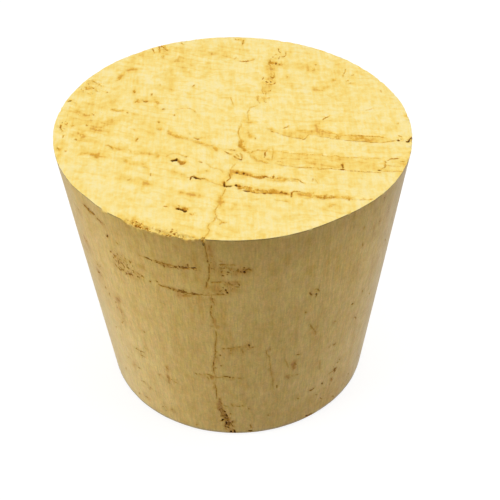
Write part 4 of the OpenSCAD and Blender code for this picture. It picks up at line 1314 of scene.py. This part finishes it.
# ---------------------------------------------------------------- the material

# From pale to ochre, for the two sliced ends and for the ground side
END_COLOURS = [
    (0.0, srgb(250, 230, 160)), (0.2, srgb(249, 226, 144)), (0.4, srgb(247, 218, 122)),
    (0.56, srgb(245, 211, 104)), (0.7, srgb(242, 203, 90)), (0.85, srgb(235, 188, 68)),
    (1.0, srgb(216, 158, 44)),
]
SIDE_COLOURS = [
    (0.0, srgb(231, 201, 124)), (0.35, srgb(221, 187, 101)), (0.6, srgb(210, 170, 76)),
    (0.8, srgb(200, 152, 54)), (1.0, srgb(182, 128, 34)),
]
# From faint to dark, for the marks on each
END_INK_COLOURS = [
    (0.0, srgb(236, 192, 84)), (0.3, srgb(218, 162, 52)), (0.5, srgb(184, 124, 30)),
    (0.75, srgb(112, 66, 14)), (1.0, srgb(34, 17, 5)),
]
SIDE_INK_COLOURS = [
    (0.0, srgb(208, 168, 78)), (0.3, srgb(184, 138, 50)), (0.5, srgb(156, 110, 34)),
    (0.75, srgb(110, 72, 20)), (1.0, srgb(52, 30, 9)),
]
# Faint changes of hue from streak to streak
GREEN_TINGE = (0.98, 1.015, 0.91)
ROSY_TINGE = (1.03, 0.96, 1.05)
# Painted shade on the side just under the wide end: what is left of its colour there, on the left and at
# the front
PAINTED_RIM_SHADES = ((0.86, 0.86, 0.74, 1), (0.76, 0.72, 0.56, 1))
# Painted reflection of the pale floor, low on the left of the side
PAINTED_FLOOR_REFLECTION = (0.1, 0.11, 0.085)  # how much paler the side gets towards the foot, on the left


class CorkNodes(Nodes):
    """The cork's nodes, and the place and the noises that its parts share."""

    def __init__(self, tree):
        super().__init__(tree)
        self.at = self.times(self.node("ShaderNodeTexCoord").outputs["Object"], (1 / MM,) * 3)
        self.x, self.y, self.z = self.node("ShaderNodeSeparateXYZ", {0: self.at}).outputs
        self.ink, self.stain, self.specks = (self.attribute(name) for name in ("ink", "stain", "specks"))
        # From broad to fine
        self.clouds = self.noise(self.at, 0.16)
        self.mottle = self.noise(self.at, 0.45, 3, 0.5, 0.4)
        self.grain = self.noise(self.at, 1.3, 2, 0.5, 0.3)
        self.dust = self.noise(self.at, 4.5, 2, 0.6)
        self.streaks = self.drawn_out((1, 1, 0.05), 4.6, 2, 0.65)

    def drawn_out(self, factors, scale, detail=2.0, roughness=0.5):
        """A noise drawn out along the axes whose factor is below 1."""
        return self.noise(self.times(self.at, factors), scale, detail, roughness)

    def growth(self):
        """Counts the growth rings: planes across Y that lean towards +X, and more on the left."""
        half, turn = (RIGHT_LEAN + LEFT_LEAN) / 2, (RIGHT_LEAN - LEFT_LEAN) / 2
        lean = self.sum((self.x, half), (self.math("ABSOLUTE", self.x), turn))
        return self.sum((self.y, 1), (lean, 1), (self.noise(self.at, 0.3), 2))

    def end_colour(self):
        """The two ends: cut across the rings, with faint rays and lines of cells along Y."""
        growth = self.growth()
        grown = {0: self.sum((self.x, 0.1)), 1: growth, 2: self.sum((self.z, 0.1))}
        rings = self.noise(self.node("ShaderNodeCombineXYZ", grown).outputs[0], 0.8)
        rays = self.drawn_out((1, 0.15, 1), 0.9, 3, 0.6)
        cells = self.drawn_out((1, 0.12, 1), 3.4)
        wave = self.math("SINE", self.sum((growth, 5.2), (self.mottle, 7)))
        here = self.ramp(self.noise(self.at, 0.22), 0.42, 0.6)
        lines = self.math("MULTIPLY", self.ramp(wave, 0.5, 1), here)
        tone = self.sum(
            (self.clouds, 0.35), (self.mottle, 0.75), (self.grain, 0.78), (rings, 0.44), (rays, 0.44),
            (cells, 0.74), (lines, 0.16), (self.stain, 0.64), offset=-1.46,
        )
        light = self.sum((cells, 0.1), (self.dust, 0.08), offset=0.91)
        return self.scaled(self.colours(tone, END_COLOURS), light)

    def side_colour(self):
        """The side: turned and sanded, with fine streaks up it."""
        broad = self.drawn_out((1, 1, 0.06), 0.9, 3, 0.6)
        tone = self.sum(
            (self.clouds, 0.3), (self.mottle, 0.4), (self.grain, 0.3), (broad, 0.5),
            (self.stain, 0.7), offset=-0.35,
        )
        light = self.sum((self.streaks, 0.6), (self.dust, 0.46), offset=0.47)
        colour = self.scaled(self.colours(tone, SIDE_COLOURS), light)
        hue = self.ramp(self.drawn_out((1, 1, 0.4), 1.5, 4, 0.75), 0.35, 0.65)
        return self.mix(hue, self.times(colour, GREEN_TINGE), self.times(colour, ROSY_TINGE))

    def painted_side_light_and_shade(self, colour):
        """Painted shade under the wide end and along both edges, and a painted floor reflection low on the
        left.
        """
        # Painted shade under the wide end, stronger at the front
        painted_shade_factor = self.mix(self.ramp(self.x, -16, 2), *PAINTED_RIM_SHADES)
        low = self.ramp(self.x, 14, 20, 0.8 * HEIGHT, 0.66 * HEIGHT)
        above, height = self.sum((self.z, 1), (low, -1)), self.sum((low, -1), offset=HEIGHT)
        share = self.math("DIVIDE", above, height, clamp=True)
        colour = self.mix(share, colour, self.times(colour, painted_shade_factor))
        # Painted reflection of the floor: paler towards the foot, on the left
        pale = self.math("MULTIPLY", self.ramp(self.z, 4, 32, 1, 0), self.ramp(self.x, -18, -4, 1, 0))
        colour = self.vector("ADD", {0: colour, 1: self.scaled(PAINTED_FLOOR_REFLECTION, pale)})
        # Painted shade: a dark line along the foot's broken edge, where it meets the floor
        colour = self.scaled(colour, self.ramp(self.z, 0.25, 0.8, 0.62, 1))
        # Painted shade: a thin dark line just under the rim
        under_rim = self.sum((self.z, -1), (self.x, -FALL), offset=HEIGHT)
        return self.scaled(colour, self.ramp(under_rim, 0.06, 0.32, 0.6, 1))

    def spots(self):
        """Fine brown specks, thicker inside the patches."""
        spots = self.drawn_out((1, 1, 0.7), 3.3, 2, 0.6)
        return self.ramp(self.sum((spots, 0.8), (self.dust, 0.25), (self.specks, 0.26)), 0.71, 0.86)

    def ink_cover(self, spots):
        """How much of the cork's own colour the cracks and specks hide."""
        grit = self.ramp(self.noise(self.at, 6, 3, 0.6), 0.35, 0.65, 0.3, 1.6)
        cover = self.math("MAXIMUM", self.math("MULTIPLY", self.ink, grit), self.sum((spots, 0.6)))
        return self.ramp(cover, 0.04, 0.42)

    def darkness(self, spots):
        """How dark the cracks and specks are."""
        inked = self.sum((self.ink, 0.75), (self.math("MULTIPLY", self.ink, self.dust), 0.5))
        return self.math("MAXIMUM", inked, self.sum((spots, 0.6)))


def new_material(name):
    """A material with an empty node tree."""
    material = bpy.data.materials.new(name)
    material.use_nodes = True
    return material


def cork_material():
    """Cork, cut across at the ends and where the rim is worn, and sanded on the side."""
    material = new_material("cork")
    s = CorkNodes(material.node_tree)
    cut = s.math("MAXIMUM", s.attribute("sliced"), s.attribute("fresh"))
    colour = s.mix(cut, s.painted_side_light_and_shade(s.side_colour()), s.end_colour())
    spots = s.spots()
    dark = s.darkness(spots)
    inks = s.mix(cut, s.colours(dark, SIDE_INK_COLOURS), s.colours(dark, END_INK_COLOURS))
    colour = s.mix(s.ink_cover(spots), colour, inks)
    relief = {"Height": s.sum((s.streaks, 0.4), (s.dust, 0.35), (spots, -0.7))}
    bump = s.node("ShaderNodeBump", {**relief, "Strength": 0.4, "Distance": 0.12 * MM})
    surface = s.node("ShaderNodeBsdfPrincipled", {
        "Base Color": colour,
        "Roughness": s.ramp(s.grain, 0.3, 0.7, 0.5, 0.62),
        "Normal": bump.outputs[0],
        "Specular IOR Level": s.ramp(dark, 0, 0.4, 0.5, 0.1),
        "Sheen Weight": s.ramp(dark, 0, 0.4, 0.6, 0),
        "Sheen Roughness": 0.3,
    })
    s.node("ShaderNodeOutputMaterial", {"Surface": surface.outputs[0]})
    return material


# ---------------------------------------------------------------- floor, light and camera

FLOOR_HALF = 1.5
FLOOR_GREY = (0.35, 0.35, 0.35, 1)  # what lights the stopper from below
SHADOW_GREY = (0.26, 0.26, 0.26, 1)  # the part of the floor's seen colour that shadows darken
FLOOR_GLOW = 0.83  # and the part that they don't
WORLD_LIGHT = 0.18
LAMP_DISTANCE = 0.5
LAMPS = (  # name, azimuth, elevation, size and watts
    ("overhead", 150, 78, 0.48, 1.5),
    ("left", -70, 22, 0.35, 1.72),
    ("right", 78, 30, 0.35, 0.96),
)
VIEW_DISTANCE = 0.1461  # from the middle of the axis
VIEW_ELEVATION = 40.05
AIM_RIGHT, AIM_DOWN, AIM_ROLL = 0.97, 40.54, -0.74  # degrees
LENS_MM, SENSOR_MM = 76.5, 36


def floor():
    """A pale floor, seen and mirrored nearly white, with the stopper's shadow kept on it."""
    material = new_material("floor_white")
    s = Nodes(material.node_tree)
    plain = s.node("ShaderNodeBsdfDiffuse", {"Color": FLOOR_GREY}).outputs[0]
    glow = s.node("ShaderNodeEmission", {"Color": (1, 1, 1, 1), "Strength": FLOOR_GLOW}).outputs[0]
    shaded = s.node("ShaderNodeBsdfDiffuse", {"Color": SHADOW_GREY}).outputs[0]
    seen = s.node("ShaderNodeAddShader", {0: glow, 1: shaded}).outputs[0]
    mixed = s.node("ShaderNodeMixShader", {0: s.is_seen(), 1: plain, 2: seen}).outputs[0]
    s.node("ShaderNodeOutputMaterial", {"Surface": mixed})
    mesh = bpy.data.meshes.new("floor")
    corners = [(x * FLOOR_HALF, y * FLOOR_HALF, 0) for x, y in ((-1, -1), (1, -1), (1, 1), (-1, 1))]
    mesh.from_pydata(corners, [], [(0, 1, 2, 3)])
    mesh.materials.append(material)
    plane = bpy.data.objects.new("floor", mesh)
    bpy.context.collection.objects.link(plane)


def world():
    """Soft light from all round, and a pale sky where the camera or a reflection sees it."""
    made = bpy.data.worlds.new("studio")
    bpy.context.scene.world = made
    made.use_nodes = True
    s = Nodes(made.node_tree)
    back = s.node("ShaderNodeBackground", {"Strength": s.ramp(s.is_seen(), 0, 1, WORLD_LIGHT, 1)})
    s.node("ShaderNodeOutputWorld", {"Surface": back.outputs[0]})


def area_light(name, azimuth, elevation, size, watts, middle):
    """A soft square lamp that faces the middle of the stopper."""
    data = bpy.data.lights.new(name, "AREA")
    data.size = size
    data.energy = watts
    lamp = bpy.data.objects.new(name, data)
    bpy.context.collection.objects.link(lamp)
    turn, rise = math.radians(azimuth), math.radians(elevation)
    out = Matrix.Rotation(turn, 4, "Z") @ Matrix.Rotation(math.pi / 2 - rise, 4, "X")
    lamp.matrix_world = Matrix.Translation(middle) @ out @ Matrix.Translation((0, 0, LAMP_DISTANCE))


def camera(middle):
    """A camera at the viewing angle of the picture that the stopper follows."""
    data = bpy.data.cameras.new("camera")
    data.lens = LENS_MM
    data.sensor_width = SENSOR_MM
    data.clip_start = 0.01
    eye = bpy.data.objects.new("camera", data)
    bpy.context.collection.objects.link(eye)
    rise = math.radians(VIEW_ELEVATION)
    place = middle + VIEW_DISTANCE * np.array([0, -math.cos(rise), math.sin(rise)])
    aim = Matrix.Rotation(-math.radians(AIM_RIGHT), 4, "Z")
    aim = aim @ Matrix.Rotation(math.radians(90 - AIM_DOWN), 4, "X")
    aim = aim @ Matrix.Rotation(math.radians(AIM_ROLL), 4, "Z")
    eye.matrix_world = Matrix.Translation(place) @ aim
    bpy.context.scene.camera = eye


# ---------------------------------------------------------------- everything together

middle = np.array([0, 0, HEIGHT / 2 * MM])
bpy.context.scene.view_settings.view_transform = "Standard"
camera(middle)
world()
floor()
for lamp in LAMPS:
    area_light(*lamp, middle)

bark = cork_piece()
bark.data.materials.append(cork_material())
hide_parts("cork_stopper")
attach(bark, "root")
